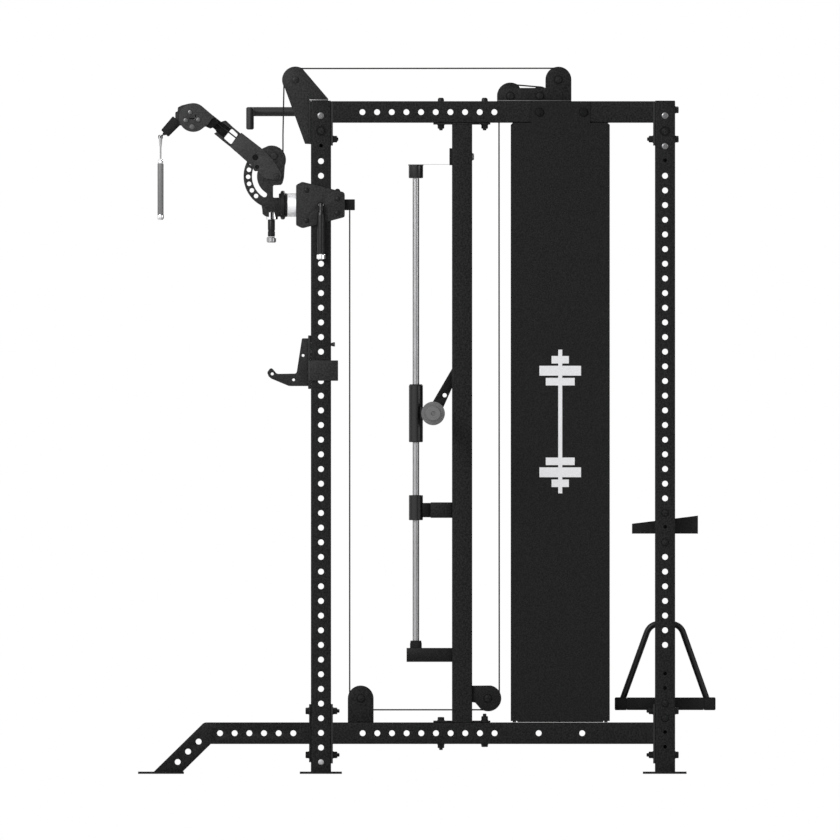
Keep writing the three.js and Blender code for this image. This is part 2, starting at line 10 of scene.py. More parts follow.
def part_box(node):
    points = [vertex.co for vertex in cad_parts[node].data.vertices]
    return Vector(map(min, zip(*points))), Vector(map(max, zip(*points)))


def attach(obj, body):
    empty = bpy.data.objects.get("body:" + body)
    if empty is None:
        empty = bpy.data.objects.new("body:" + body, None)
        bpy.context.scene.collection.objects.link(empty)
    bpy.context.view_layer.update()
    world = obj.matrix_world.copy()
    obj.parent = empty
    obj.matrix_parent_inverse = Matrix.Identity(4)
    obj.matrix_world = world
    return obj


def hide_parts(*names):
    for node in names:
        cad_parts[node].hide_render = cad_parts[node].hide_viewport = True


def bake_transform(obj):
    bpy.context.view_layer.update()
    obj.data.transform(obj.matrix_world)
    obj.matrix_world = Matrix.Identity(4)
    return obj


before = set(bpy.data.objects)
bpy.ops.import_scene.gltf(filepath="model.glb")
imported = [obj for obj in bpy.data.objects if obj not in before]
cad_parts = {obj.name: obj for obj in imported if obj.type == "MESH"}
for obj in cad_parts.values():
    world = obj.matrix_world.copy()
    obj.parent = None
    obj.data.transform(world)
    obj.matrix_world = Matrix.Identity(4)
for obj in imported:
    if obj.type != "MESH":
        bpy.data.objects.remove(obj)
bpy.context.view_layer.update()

# ---- driving dimensions --------------------
MM = 0.001
ROD_Y = -41.2                  # smith guide rod
rod_low, rod_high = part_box("smith_guide_rod_right")
SIDE_X = (rod_low.x + rod_high.x) / 2 / MM
DATUM_Y = (rod_low.y + rod_high.y) / 2 / MM - ROD_Y

# Tubes, flanges and the hole rows of the uprights
POST = 70
HALF = POST / 2
WALL = 3
CORNER = 5
RAIL_H = 75
GAP = 0.3                      # clearance that the CAD solids keep from each other
PLATE = 6
PITCH = 50.8
HOLE_R = 10.1
BLIND_R = 6.5                  # small threaded holes in one wall of an upright
BLIND_RISE = 3
HOLES = 45
HOLE_Z0 = 40.4
POST_H = 2333
CAP_H = 3
FOOT_H = 8

# Stations along the machine and up it
FRONT_Y = -370.1
REAR_Y = 822.1
MID_Y = 118.9
BASE_Z = 103.5
TOP_Z = 2256
FRONT_FACE, REAR_FACE = FRONT_Y - HALF, REAR_Y + HALF
MID_FACE, MID_BACK = MID_Y - HALF, MID_Y + HALF
BASE_TOP, RAIL_TOP = BASE_Z + RAIL_H, TOP_Z + RAIL_H
FLANGE_BOLTS = (65.8, 218.2)   # bolts below and above the base rail
TOP_BOLT = 2199.4              # bolt below the top rail
SLIDE_Z = 1970.8               # middle of the trainer's carriage
BAR_Y, BAR_Z, BAR_R, BAR_HALF = 18.4, 1249, 14, 1050
SHROUD_Y = (287.3, 630.6)
SHROUD_FACE = HALF + GAP + 3   # outside of the shroud, from the middle plane of the posts

# Pulleys, as (y, z) of the axle, and what hangs from the last one
CABLE_R = 2.5
PULLEY_R = 39.5
CHEEK = 21                     # outer face of the plates beside a pulley, from its middle
HORN = (-458.5, 2404.6)
TOWER = (452.6, 2405.5)
LOBE_R = 45                    # rounded rear end of the tower's cheeks
FALL = (286.2, 2349.3)
FALL_R = 46.3                  # rounded front end of the tower's cheeks
RISE = (388.5, 2349)
RISE_R = 31
STACK = (460.3, 815)
STACK_R = 32.2
FOOT_FRONT = (-231.1, 261.6)
FOOT_REAR = (208.1, 261.6)
PIVOT = (-524.5, 2070.5)       # pitch axis of the trainer arm
ARM_PULLEY = (-532.8, 2141)    # pulley at the arm's root
ROOT_R = 31
HEAD = (-812.7, 2274.3)        # pulley at the arm's tip
TIP_R = 35
BOOT_END = (-911.75, 2219)     # where the cable leaves its rubber boot
HANDLE_Y = -926

# ---- camera, light and floor --------------------
VIEW_SIZE = 2.9106             # height and width of the side view, in metres
VIEW_Y, VIEW_Z = -0.0236, 1.2262
FLOOR_REACH, FLOOR_Z = 14, -0.0006
WHITE = (1, 1, 1, 1)


def link_object(name, data):
    item = bpy.data.objects.new(name, data)
    bpy.context.scene.collection.objects.link(item)
    return item


def camera():
    data = bpy.data.cameras.new("side_camera")
    data.type = "ORTHO"
    data.ortho_scale = VIEW_SIZE
    data.clip_end = 60
    item = link_object("side_camera", data)
    item.location = (8, VIEW_Y, VIEW_Z)
    item.rotation_euler = (math.pi / 2, 0, math.pi / 2)
    bpy.context.scene.camera = item


def area_light(name, spot, target_z, power):
    data = bpy.data.lights.new(name, "AREA")
    data.shape = "RECTANGLE"
    data.size, data.size_y = 3, 3
    data.energy = power
    item = link_object(name, data)
    item.location = spot
    way = Vector((0, 0, target_z)) - Vector(spot)
    item.rotation_euler = way.to_track_quat("-Z", "Y").to_euler()


# A shader node of the given kind, with its settings and the values of its unlinked inputs.
def shader_node(tree, kind, inputs=(), **settings):
    node = tree.nodes.new("ShaderNode" + kind)
    for name, value in settings.items():
        setattr(node, name, value)
    for name, value in dict(inputs).items():
        node.inputs[name].default_value = value
    return node


def world_light():
    world = bpy.data.worlds.new("studio")
    bpy.context.scene.world = world
    world.use_nodes = True
    tree = world.node_tree
    tree.nodes.clear()
    link = tree.links.new
    rays = shader_node(tree, "LightPath")
    seen = shader_node(tree, "Background", {"Strength": 1.0, "Color": WHITE})
    lit = shader_node(tree, "Background", {"Strength": 0.40, "Color": WHITE})
    mirrored = shader_node(tree, "Background", {"Color": WHITE})
    # What shiny pieces mirror: bright on the -Y side, dim on the +Y side, dark straight behind.
    way = shader_node(tree, "TexCoord")
    axes = shader_node(tree, "SeparateXYZ")
    product = shader_node(tree, "Math", operation="MULTIPLY")
    link(way.outputs["Generated"], axes.inputs[0])
    sockets = ("From Min", "From Max", "To Min", "To Max")
    ranges = (("Y", 0.12, 0.32, 1.05, 0.30), ("X", -0.90, -0.70, 0.12, 1.0))
    for slot, (axis, *values) in enumerate(ranges):
        falloff = shader_node(tree, "MapRange", zip(sockets, values))
        link(axes.outputs[axis], falloff.inputs["Value"])
        link(falloff.outputs["Result"], product.inputs[slot])
    link(product.outputs[0], mirrored.inputs["Strength"])
    soft = shader_node(tree, "MixShader")
    mix = shader_node(tree, "MixShader")
    output = shader_node(tree, "OutputWorld")
    link(rays.outputs["Is Glossy Ray"], soft.inputs[0])
    link(lit.outputs[0], soft.inputs[1])
    link(mirrored.outputs[0], soft.inputs[2])
    link(rays.outputs["Is Camera Ray"], mix.inputs[0])
    link(soft.outputs[0], mix.inputs[1])
    link(seen.outputs[0], mix.inputs[2])
    link(mix.outputs[0], output.inputs["Surface"])


def studio():
    world_light()
    area_light("key", (6.5, -4.5, 5.0), 1.3, 420)
    area_light("fill", (5.0, 6.0, 3.0), 1.2, 90)
    area_light("back", (-6.0, 3.0, 5.0), 1.3, 220)
    bpy.context.scene.view_settings.view_transform = "Standard"
    mesh = bpy.data.meshes.new("floor")
    corners = [(x * FLOOR_REACH, y * FLOOR_REACH, FLOOR_Z)
               for x, y in ((-1, -1), (1, -1), (1, 1), (-1, 1))]
    mesh.from_pydata(corners, [], [(0, 1, 2, 3)])
    floor = link_object("floor", mesh)
    finish = Finish("floor", 0.9)
    finish.shader.inputs["Base Color"].default_value = (0.86, 0.86, 0.86, 1)
    mesh.materials.append(finish.material)


# ---- materials --------------------
def grey(value):
    return (value, value, value * 1.02)


# A material under construction: noise, colour, gloss and relief are laid on its one shader.
class Finish:
    def __init__(self, name, roughness, metallic=0.0, specular=0.5):
        self.material = bpy.data.materials.new(name)
        self.material.use_nodes = True
        self.tree = self.material.node_tree
        self.link = self.tree.links.new
        self.shader = self.tree.nodes["Principled BSDF"]
        self.shader.inputs["Metallic"].default_value = metallic
        self.shader.inputs["Roughness"].default_value = roughness
        self.shader.inputs["Specular IOR Level"].default_value = specular

    # A procedural texture in the object's own coordinates, placed by a mapping.
    def texture(self, kind, mapping=(), inputs=(), **settings):
        coordinates = shader_node(self.tree, "TexCoord")
        placed = shader_node(self.tree, "Mapping", mapping)
        node = shader_node(self.tree, kind, inputs, **settings)
        self.link(coordinates.outputs["Object"], placed.inputs["Vector"])
        self.link(placed.outputs["Vector"], node.inputs["Vector"])
        return node.outputs["Fac"]

    def noise(self, scale, detail=2.0, stretch=(1, 1, 1)):
        return self.texture("TexNoise", {"Scale": stretch}, {"Scale": scale, "Detail": detail})

    def ramp(self, source, low, high, stops=(0.35, 0.65)):
        colours = shader_node(self.tree, "ValToRGB")
        for element, position, colour in zip(colours.color_ramp.elements, stops, (low, high)):
            element.position = position
            element.color = (*colour, 1)
        self.link(source, colours.inputs["Fac"])
        return colours.outputs["Color"]

    def colour(self, source, dark, light, stops=(0.35, 0.65)):
        shade = self.ramp(source, grey(dark), grey(light), stops)
        self.link(shade, self.shader.inputs["Base Color"])

    def gloss(self, source, low, high):
        self.link(self.ramp(source, (low,) * 3, (high,) * 3), self.shader.inputs["Roughness"])

    def relief(self, source, strength, depth):
        node = shader_node(self.tree, "Bump", {"Strength": strength, "Distance": depth})
        self.link(source, node.inputs["Height"])
        self.link(node.outputs["Normal"], self.shader.inputs["Normal"])


# Powder coat: orange-peel relief, fine speckle in the colour, slow drift in the gloss.
def powder_coat(name, dark, light, roughness, specular=0.12, peel=260.0, strength=0.5):
    finish = Finish(name, roughness, 0.0, specular)
    speckle = finish.noise(peel, 3.0)
    finish.colour(speckle, dark, light)
    finish.gloss(finish.noise(3.0, 4.0), roughness - 0.06, roughness + 0.08)
    finish.relief(speckle, strength, 0.0006)
    return finish.material


# Turned or drawn metal: fine lines around or along the piece, and faint smudges.
def drawn_metal(name, dark, light, roughness, stretch, scale=220.0, relief=0.05, smudge=0.3):
    finish = Finish(name, roughness, 1.0)
    lines = finish.noise(scale, 2.0, stretch)
    finish.colour(lines, dark, light)
    finish.gloss(finish.noise(9.0, 5.0), roughness * (1 - smudge), roughness * (1 + smudge))
    finish.relief(lines, relief, 0.0002)
    return finish.material


# Metal faced on a lathe: rings around an axis that runs along X through (y, z).
def faced_metal(name, dark, light, roughness, y, z, pitch=120.0):
    finish = Finish(name, roughness, 1.0)
    rings = finish.texture("TexWave", {"Location": (0, -(y + DATUM_Y) * MM, -z * MM)},
                           {"Scale": pitch, "Distortion": 1.5},
                           wave_type="RINGS", rings_direction="X")
    finish.colour(rings, dark, light, (0.0, 1.0))
    finish.relief(rings, 0.08, 0.0002)
    return finish.material


def moulded(name, dark, light, roughness, grain=700.0, strength=0.25, specular=0.2):
    finish = Finish(name, roughness, 0.0, specular)
    texture = finish.noise(grain)
    finish.colour(texture, dark, light)
    finish.relief(texture, strength, 0.0004)
    return finish.material


# Diamond knurl: two crossed wave fields.
def knurled(name, dark, light, roughness, relief):
    finish = Finish(name, roughness, 0.35)
    cross = shader_node(finish.tree, "Math", operation="MULTIPLY")
    for slot, turn in enumerate((0.6, -0.6)):
        wave = finish.texture("TexWave", {"Rotation": (turn, turn, 0)}, {"Scale": 260.0})
        finish.link(wave, cross.inputs[slot])
    finish.colour(cross.outputs[0], dark, light, (0.1, 0.7))
    finish.relief(cross.outputs[0], relief, 0.0006)
    return finish.material


# Wire rope under a clear jacket: strands that wind along the run.
def wire_rope(name, dark, light):
    finish = Finish(name, 0.60, 0.0, 0.05)
    strands = finish.texture("TexWave", (), {"Scale": 90.0}, bands_direction="DIAGONAL")
    finish.colour(strands, dark, light)
    finish.relief(strands, 0.4, 0.0005)
    return finish.material


ALONG_Z, EVEN = (1, 1, 0.05), (1, 1, 1)
FINISHES = (
    (powder_coat, "frame_paint", 0.003, 0.018, 0.50, 0.11, 190.0, 0.2),
    (powder_coat, "dark_paint", 0.003, 0.014, 0.55),
    # A darker copy of the frame paint: partly the own tone of small black parts, partly painted
    # shade where they sit in recesses, between plates and under bolt heads.
    (powder_coat, "deep_paint", 0.001, 0.010, 0.50, 0.08),
    (powder_coat, "plate_paint", 0.011, 0.029, 0.48, 0.12, 190.0, 0.35),
    # An even lighter grey for the rail flange ends: painted highlight for the light their edges
    # catch.
    (powder_coat, "edge_paint", 0.022, 0.028, 0.50, 0.12, 190.0, 0.1),
    (powder_coat, "arm_paint", 0.025, 0.043, 0.50, 0.12, 190.0, 0.35),
    (moulded, "satin_black", 0.003, 0.006, 0.42, 300.0, 0.05, 0.3),
    (moulded, "gloss_black", 0.002, 0.004, 0.26, 300.0, 0.02, 0.5),
    (moulded, "lacquer", 0.001, 0.003, 0.32, 300.0, 0.01, 0.35),
    (moulded, "bar_enamel", 0.008, 0.012, 0.50, 300.0, 0.03, 0.45),
    (moulded, "rubber", 0.010, 0.020, 0.85, 300.0, 0.35, 0.1),
    (moulded, "plastic", 0.004, 0.010, 0.42),
    (moulded, "cast_iron", 0.010, 0.024, 0.6, 240.0, 0.6),
    (moulded, "decal", 0.68, 0.76, 0.55, 260.0, 0.1),
    (drawn_metal, "chrome", 0.94, 0.96, 0.12, ALONG_Z, 220.0, 0.0, 0.08),
    (drawn_metal, "tube_chrome", 0.96, 0.98, 0.40, ALONG_Z, 220.0, 0.0, 0.05),
    (drawn_metal, "rod_steel", 0.35, 0.39, 0.33, ALONG_Z, 220.0, 0.01, 0.1),
    (drawn_metal, "zinc", 0.15, 0.21, 0.5, EVEN, 400.0),
    (drawn_metal, "bolt_grey", 0.10, 0.13, 0.5, EVEN, 400.0),
    (drawn_metal, "bright_zinc", 0.42, 0.50, 0.5, EVEN, 400.0),
    (faced_metal, "bar_sleeve", 0.15, 0.20, 0.38, BAR_Y, BAR_Z),
    (knurled, "grip", 0.10, 0.30, 0.42, 0.5),
    (knurled, "handle_grip", 0.17, 0.20, 0.45, 0.06),
    (wire_rope, "cable", 0.006, 0.03),
)
MATERIALS = {name: make(name, *values) for make, name, *values in FINISHES}


# ---- shape helpers --------------------
# A shape is (vertices, faces) in the drawing's mm.
def joined(parts):
    verts, faces = [], []
    for part_verts, part_faces in parts:
        start = len(verts)
        verts.extend(part_verts)
        faces.extend(tuple(start + i for i in face) for face in part_faces)
    return verts, faces


def arc(centre, radius, start, end, steps):
    turns = [math.radians(start + (end - start) * i / steps) for i in range(steps + 1)]
    return [(centre[0] + radius * math.cos(a), centre[1] + radius * math.sin(a)) for a in turns]


def circle(centre, radius, count=28):
    return arc(centre, radius, 0, 360, count)[:-1]


# An outline of (y, z) points swept from x0 to x1, with holes through it.
def prism(outline, x0, x1, holes=()):
    loops = [[Vector((y, z, 0)) for y, z in loop] for loop in (outline, *holes)]
    flat = [p for loop in loops for p in loop]
    count = len(flat)
    verts = [Vector((x, p.x, p.y)) for x in (x0, x1) for p in flat]
    faces = []
    for triangle in tessellate_polygon(loops):
        faces.append(tuple(triangle))
        faces.append(tuple(i + count for i in reversed(triangle)))
    start = 0
    for loop in loops:
        size = len(loop)
        for i in range(size):
            a, b = start + i, start + (i + 1) % size
            faces.append((a, b, b + count, a + count))
        start += size
    return verts, faces


def box(xs, ys, zs):
    outline = [(ys[0], zs[0]), (ys[1], zs[0]), (ys[1], zs[1]), (ys[0], zs[1])]
    return prism(outline, *xs)


# A profile of (radius, height) turned about an axis. It ends on the axis and gives a solid, or as
# a loop it closes on itself and gives a ring.
def lathe(origin, axis, profile, segments=32, loop=False):
    if not loop:
        profile = [(0, profile[0][1]), *profile, (0, profile[-1][1])]
    origin, axis = Vector(origin), Vector(axis).normalized()
    helper = Vector((0, 0, 1)) if abs(axis.z) < 0.9 else Vector((0, 1, 0))
    side = axis.cross(helper).normalized()
    up = axis.cross(side)
    verts, rings = [], []
    for radius, height in profile:
        centre = origin + axis * height
        if radius < 1e-6:
            rings.append([len(verts)] * segments)
            verts.append(centre)
            continue
        rings.append(list(range(len(verts), len(verts) + segments)))
        for i in range(segments):
            turn = 2 * math.pi * (i + 0.5) / segments
            verts.append(centre + side * radius * math.cos(turn) + up * radius * math.sin(turn))
    pairs = list(zip(rings, rings[1:]))
    if loop:
        pairs.append((rings[-1], rings[0]))
    faces = []
    for low, high in pairs:
        for i in range(segments):
            j = (i + 1) % segments
            face = tuple(dict.fromkeys((low[i], low[j], high[j], high[i])))
            if len(face) > 2:
                faces.append(face)
    return verts, faces


def rod(start, end, radius, segments=32, chamfer=0.0):
    way = Vector(end) - Vector(start)
    length = way.length
    profile = [(radius, 0), (radius, length)]
    if chamfer:
        profile = [(radius - chamfer, 0), (radius, chamfer), (radius, length - chamfer),
                   (radius - chamfer, length)]
    return lathe(start, way, profile, segments)


def sleeve(start, end, inner, outer, chamfer):
    way = Vector(end) - Vector(start)
    length = way.length
    profile = [(inner, 0), (outer - chamfer, 0), (outer, chamfer), (outer, length - chamfer),
               (outer - chamfer, length), (inner, length)]
    return lathe(start, way, profile, 40, True)


# A round section swept along points, with flat ends.
def sweep(points, radius, segments=12):
    path = [Vector(p) for p in points]
    tangents = [(after - before).normalized()
                for before, after in zip(path[:1] + path, path[1:] + path[-1:])]
    side = tangents[0].orthogonal().normalized()
    verts, faces = [], []
    for p, tangent in zip(path, tangents):
        side = (side - tangent * side.dot(tangent)).normalized()
        up = tangent.cross(side)
        for i in range(segments):
            turn = 2 * math.pi * i / segments
            verts.append(p + side * radius * math.cos(turn) + up * radius * math.sin(turn))
    for k in range(len(path) - 1):
        for i in range(segments):
            a, b = k * segments + i, k * segments + (i + 1) % segments
            faces.append((a, b, b + segments, a + segments))
    faces.append(tuple(range(segments)))
    faces.append(tuple(range(len(verts) - segments, len(verts))))
    return verts, faces


# Corner points of a polyline replaced by round bends.
def rounded(points, radius, steps):
    path = [Vector(p) for p in points]
    result = [path[0]]
    for before, corner, after in zip(path, path[1:], path[2:]):
        into, onward = before - corner, after - corner
        reach = min(radius, into.length * 0.49, onward.length * 0.49)
        start = corner + into.normalized() * reach
        end = corner + onward.normalized() * reach
        for i in range(steps + 1):
            t = i / steps
            result.append(start.lerp(corner, t).lerp(corner.lerp(end, t), t))
    result.append(path[-1])
    return result


# Rounded rectangular tube along one axis (0, 1 or 2), open at both ends.
def square_tube(low, high, axis):
    u, v = [i for i in range(3) if i != axis]

    def loop(inset, radius):
        reach = inset + radius
        points = []
        for turn, ends in ((0, (high, high)), (90, (low, high)), (180, (low, low)),
                           (270, (high, low))):
            middle = [end[i] - reach if end is high else end[i] + reach
                      for i, end in zip((u, v), ends)]
            points.extend(arc(middle, radius, turn, turn + 90, 4))
        return points

    verts, faces = prism(loop(0, CORNER), low[axis], high[axis], [loop(WALL, CORNER - WALL)])
    order = [1, 2]
    order.insert(axis, 0)
    return [Vector([vert[i] for i in order]) for vert in verts], faces


def place(x, y, z):
    return Vector((x, y + DATUM_Y, z)) * MM


def raw_object(name, shape):
    verts, faces = shape
    mesh = bpy.data.meshes.new(name)
    mesh.from_pydata([place(*v) for v in verts], [], faces)
    edit = bmesh.new()
    edit.from_mesh(mesh)
    bmesh.ops.remove_doubles(edit, verts=edit.verts, dist=1e-6)
    bmesh.ops.recalc_face_normals(edit, faces=edit.faces)
    edit.to_mesh(mesh)
    edit.free()
    return link_object(name, mesh)


def modify(item, kind, **settings):
    modifier = item.modifiers.new(kind, kind)
    for name, value in settings.items():
        setattr(modifier, name, value)
    bpy.context.view_layer.update()
    evaluated = item.evaluated_get(bpy.context.evaluated_depsgraph_get())
    mesh = bpy.data.meshes.new_from_object(evaluated)
    item.modifiers.clear()
    item.data = mesh


# One finished piece: drilled, edges broken, shaded, painted and riding on its body. A piece given a
# stretch is only baked in place and rides on no body; the second body and end points in the stretch
# are not used.
def piece(name, parts, slot, body, bevel=0.0, drills=(), replaces=(), angle=32, stretch=()):
    item = raw_object(name, joined(parts))
    if drills:
        tool = raw_object("drill", joined(drills))
        modify(item, "BOOLEAN", object=tool, operation="DIFFERENCE", solver="MANIFOLD")
        bpy.data.objects.remove(tool)
    if bevel:
        modify(item, "BEVEL", width=bevel * MM, segments=2, limit_method="ANGLE",
               angle_limit=math.radians(40))
    item.data.polygons.foreach_set("use_smooth", [True] * len(item.data.polygons))
    item.data.set_sharp_from_angle(angle=math.radians(angle))
    item.data.materials.clear()
    item.data.materials.append(MATERIALS[slot])
    if stretch:
        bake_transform(item)
    else:
        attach(item, body)
    if replaces:
        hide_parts(*replaces)


# ---- one side of the machine --------------------
FORWARD, BACK, UP, DOWN = (0, -1, 0), (0, 1, 0), (0, 0, 1), (0, 0, -1)
SHARED_BODIES = ("cage", "smith_carriages", "smith_bar")
DRILL_REACH = HALF + 8


# Distances across a side are counted outward from the middle plane of its posts. All its pieces,
# and the bodies that aren't shared with the other side, carry its tag.
class Side:
    def __init__(self, sign, tag):
        self.sign = sign
        self.tag = tag
        self.x = sign * SIDE_X

    def named(self, name):
        return name if name in SHARED_BODIES else f"{name}_{self.tag}"

    def piece(self, name, parts, slot, body="cage", replaces=(), **settings):
        nodes = [self.named(node) for node in replaces]
        piece(self.named(name), parts, slot, self.named(body), replaces=nodes, **settings)

    # A run of cable through (y, z) points, on one body, or baked in place on none when a second
    # body is named.
    def cable(self, name, points, first, second=None, replaces=()):
        path = [(self.x, y, z) for y, z in points]
        stretch = (self.named(second), path[0], path[-1]) if second else ()
        self.piece(name, [sweep(path, CABLE_R)], "cable", first, replaces, stretch=stretch)

    def out(self, distance):
        return self.sign * (SIDE_X + distance)

    def span(self, near, far):
        return sorted((self.out(near), self.out(far)))

    def block(self, reach, ys, zs):
        return box(self.span(-reach, reach), ys, zs)

    def slab(self, outline, near, far, holes=()):
        return prism(outline, *self.span(near, far), holes)

    # The same plate on both sides of the middle plane.
    def cheeks(self, outline, near=16, far=CHEEK, holes=()):
        return [self.slab(outline, near, far, holes), self.slab(outline, -far, -near, holes)]

    def tube(self, ys, zs, axis):
        low, high = [(self.x + way * HALF, ys[i], zs[i]) for i, way in enumerate((-1, 1))]
        return square_tube(low, high, axis)

    def across(self, y, z, radius=HOLE_R, reach=DRILL_REACH, segments=28):
        return rod((self.out(-reach), y, z), (self.out(reach), y, z), radius, segments)

    # An upright rod at a distance from the middle plane.
    def pole(self, distance, y, low, high, radius, segments):
        x = self.out(distance)
        return rod((x, y, low), (x, y, high), radius, segments)

    # A profile turned about an upright line, or about another axis.
    def turned(self, y, z, profile, segments=36, loop=False, axis=UP):
        return lathe((self.x, y, z), axis, profile, segments, loop)

    # A turned shape standing outward at a distance, or with way -1 inward on the inner side.
    def stud(self, make, distance, y, z, *sizes, way=1):
        return make((self.out(way * distance), y, z), (self.sign * way, 0, 0), *sizes)

    def pair(self, make, distance, y, z, *sizes):
        return [self.stud(make, distance, y, z, *sizes, way=way) for way in (1, -1)]


SIDES = (Side(1, "right"), Side(-1, "left"))
INNER = SIDE_X - HALF - GAP    # half of the clear width between the two sides' posts


# X spans of the two end slabs of a beam that reaches the same way to the left and to the right.
def end_spans(reach, thickness):
    return ((-reach, thickness - reach), (reach - thickness, reach))


# ---- fasteners --------------------
BOLT_AF = 20                   # width across the flats of the frame bolts
HEX = BOLT_AF / 2 / math.cos(math.radians(30))
WASHER_R, WASHER_H = 13, 2.4


# Hexagonal head on a round washer, its first face at the given point.
def hex_head(point, way, height=10):
    top = height - 2.2
    head = [(HEX * 0.82, height), (HEX, top), (HEX, 0)]
    washer = [(WASHER_R - 0.6, WASHER_H), (WASHER_R, WASHER_H - 0.6), (WASHER_R, 0)]
    origin, way = Vector(point), Vector(way)
    return joined([lathe(origin + way * WASHER_H, way, head, 6), lathe(origin, way, washer, 28)])


# A nut with the bolt's end standing out of it.
def nut(point, way, height=13, stub=6):
    origin, way = Vector(point), Vector(way)
    return joined([hex_head(point, way, height),
                   rod(origin + way * height, origin + way * (height + stub), 6.2, 18, 1.6)])


# A plain domed head, for painted bolts.
def dome(point, way, radius, height):
    profile = [(radius * 0.6, height), (radius * 0.86, height * 0.8), (radius, height * 0.35),
               (radius, 0)]
    return lathe(point, way, profile, 28)


# A button head with a socket in it.
def button(point, way, radius, height):
    profile = [(radius * 0.34, height - 2), (radius * 0.36, height), (radius * 0.62, height),
               (radius * 0.9, height * 0.6), (radius, 0)]
    return lathe(point, way, profile, 24)


def flat_washer(point, way, radius):
    return lathe(point, way, [(radius - 0.6, 1.2), (radius, 0)], 32)


# ---- uprights --------------------
ANCHOR_R, ANCHOR_INSET = 6, 13


def foot_plate(side, name, reach, ys, anchor_ys):
    inset = reach - ANCHOR_INSET
    drills = [side.pole(o, y, -5, 15, ANCHOR_R, 20) for o in (-inset, inset) for y in anchor_ys]
    side.piece(name, [side.block(reach, ys, (0, FOOT_H))], "frame_paint", bevel=1.5, drills=drills)


# Some of the side holes are closed, and the blind ones are small and in the outer wall only.
def upright(side, end, y, foot_y, closed, blind):
    levels = [HOLE_Z0 + PITCH * k for k in range(HOLES)]
    drills = [side.across(y, z) for k, z in enumerate(levels) if k not in closed + blind]
    drills += [rod((side.x, y - DRILL_REACH, z + PITCH / 2),
                   (side.x, y + DRILL_REACH, z + PITCH / 2), HOLE_R, 28) for z in levels]
    drills += [rod((side.out(HALF - 12), y, levels[k] + BLIND_RISE),
                   (side.out(DRILL_REACH), y, levels[k] + BLIND_RISE), BLIND_R, 24) for k in blind]
    tube = side.tube((y - HALF, y + HALF), (FOOT_H, POST_H - CAP_H), 2)
    side.piece(f"{end}_upright_tube", [tube], "frame_paint", drills=drills,
               replaces=[f"{end}_upright"])
    foot_plate(side, f"{end}_foot_plate", 60, foot_y, (foot_y[0] + 16, foot_y[1] - 16))
    cap = side.block(HALF - 1, (y - HALF + 1, y + HALF - 1), (POST_H - CAP_H, POST_H))
    side.piece(f"{end}_upright_cap", [cap], "plastic", bevel=1.2)


# ---- rails --------------------
RAIL_FROM = FRONT_Y + HALF + GAP
RAIL_TO = REAR_Y - HALF - GAP


def rail(side, level, z0, row_z, flange, row, slots=()):
    z1 = z0 + RAIL_H
    drills = [side.across(y, row_z) for y in row]
    drills += [side.block(8, (y - 9, y + 9), (z0 - 10, z1 + 10)) for y in slots]
    tube = side.tube((RAIL_FROM + PLATE, RAIL_TO - PLATE), (z0, z1), 1)
    side.piece(f"{level}_rail_tube", [tube], "frame_paint", drills=drills,
               replaces=[f"{level}_rail"])
    ends = ((RAIL_FROM - GAP, RAIL_FROM + PLATE), (RAIL_TO - PLATE, RAIL_TO + GAP))
    # The flange ends take the lighter grey: painted highlight for the light caught along their
    # edges.
    side.piece(f"{level}_rail_flanges", [side.block(HALF, ys, flange) for ys in ends],
               "edge_paint")


def rails(side):
    row = [PITCH * k for k in range(10)]
    rail(side, "top", TOP_Z, 2293, (2177, RAIL_TOP), [y - 226.5 for y in row],
         (247.6, 428.1, 492.6))
    rail(side, "base", BASE_Z, BASE_Z + RAIL_H / 2, (36, 242),
         [y - 225.7 for y in row] + [384.3, 535])
    ramp_z, ramp_start = 2377, 319
    front, rear = FALL[0] - FALL_R, TOWER[0] + LOBE_R
    tower = [(front, RAIL_TOP), *arc(FALL, FALL_R, 180, 52, 16), (ramp_start, ramp_z),
             (TOWER[0] - LOBE_R, ramp_z), *arc(TOWER, LOBE_R, 180, 0, 24), (rear, RAIL_TOP)]
    side.piece("pulley_tower", side.cheeks(tower), "frame_paint", bevel=0.8)
    # The thin base plate is in light grey metal: painted highlight for the light line along the top
    # of the rail under the tower.
    base = side.block(30, (front, rear), (RAIL_TOP, RAIL_TOP + 3.6))
    side.piece("pulley_tower_base", [base], "bolt_grey", bevel=0.8)
    housing = [(-277.2, BASE_TOP), *arc((-232.5, FOOT_FRONT[1]), 44.7, 180, 0, 20),
               (-187.8, BASE_TOP)]
    side.piece("foot_pulley_housing", side.cheeks(housing), "frame_paint", bevel=0.8)


def outrigger(side):
    back = FRONT_FACE - GAP
    shell = [(back - PLATE, BASE_Z), (back - PLATE, BASE_TOP),
             *arc((-767, BASE_TOP - 20), 20, 90, 135, 4), (-949, FOOT_H), (-849, FOOT_H),
             (-752, BASE_Z)]
    holes = [(-466 - PITCH * k, BASE_Z + RAIL_H / 2) for k in range(6)]
    holes += [(-866.5, 41.4), (-830.6, 77.3), (-794, 111.9)]
    side.piece("outrigger_tube", [side.slab(shell, -HALF, HALF)], "frame_paint", bevel=4,
               drills=[side.across(*hole) for hole in holes], replaces=["outrigger"])
    side.piece("outrigger_flange", [side.block(HALF, (back - PLATE, back + GAP), (40, 242))],
               "frame_paint", bevel=1.5)
    foot_plate(side, "outrigger_foot", 55, (-1004, -845), (-990, -860))


def cross_beam(name, y, z0, flange):
    reach, ys = INNER - PLATE, (y - HALF, y + HALF)
    tube = square_tube((-reach, ys[0], z0), (reach, ys[1], z0 + RAIL_H), 0)
    piece(f"{name}_tube", [tube], "frame_paint", "cage", replaces=[name])
    piece(f"{name}_flanges", [box(xs, ys, flange) for xs in end_spans(INNER, PLATE)],
          "frame_paint", "cage", bevel=1.5)


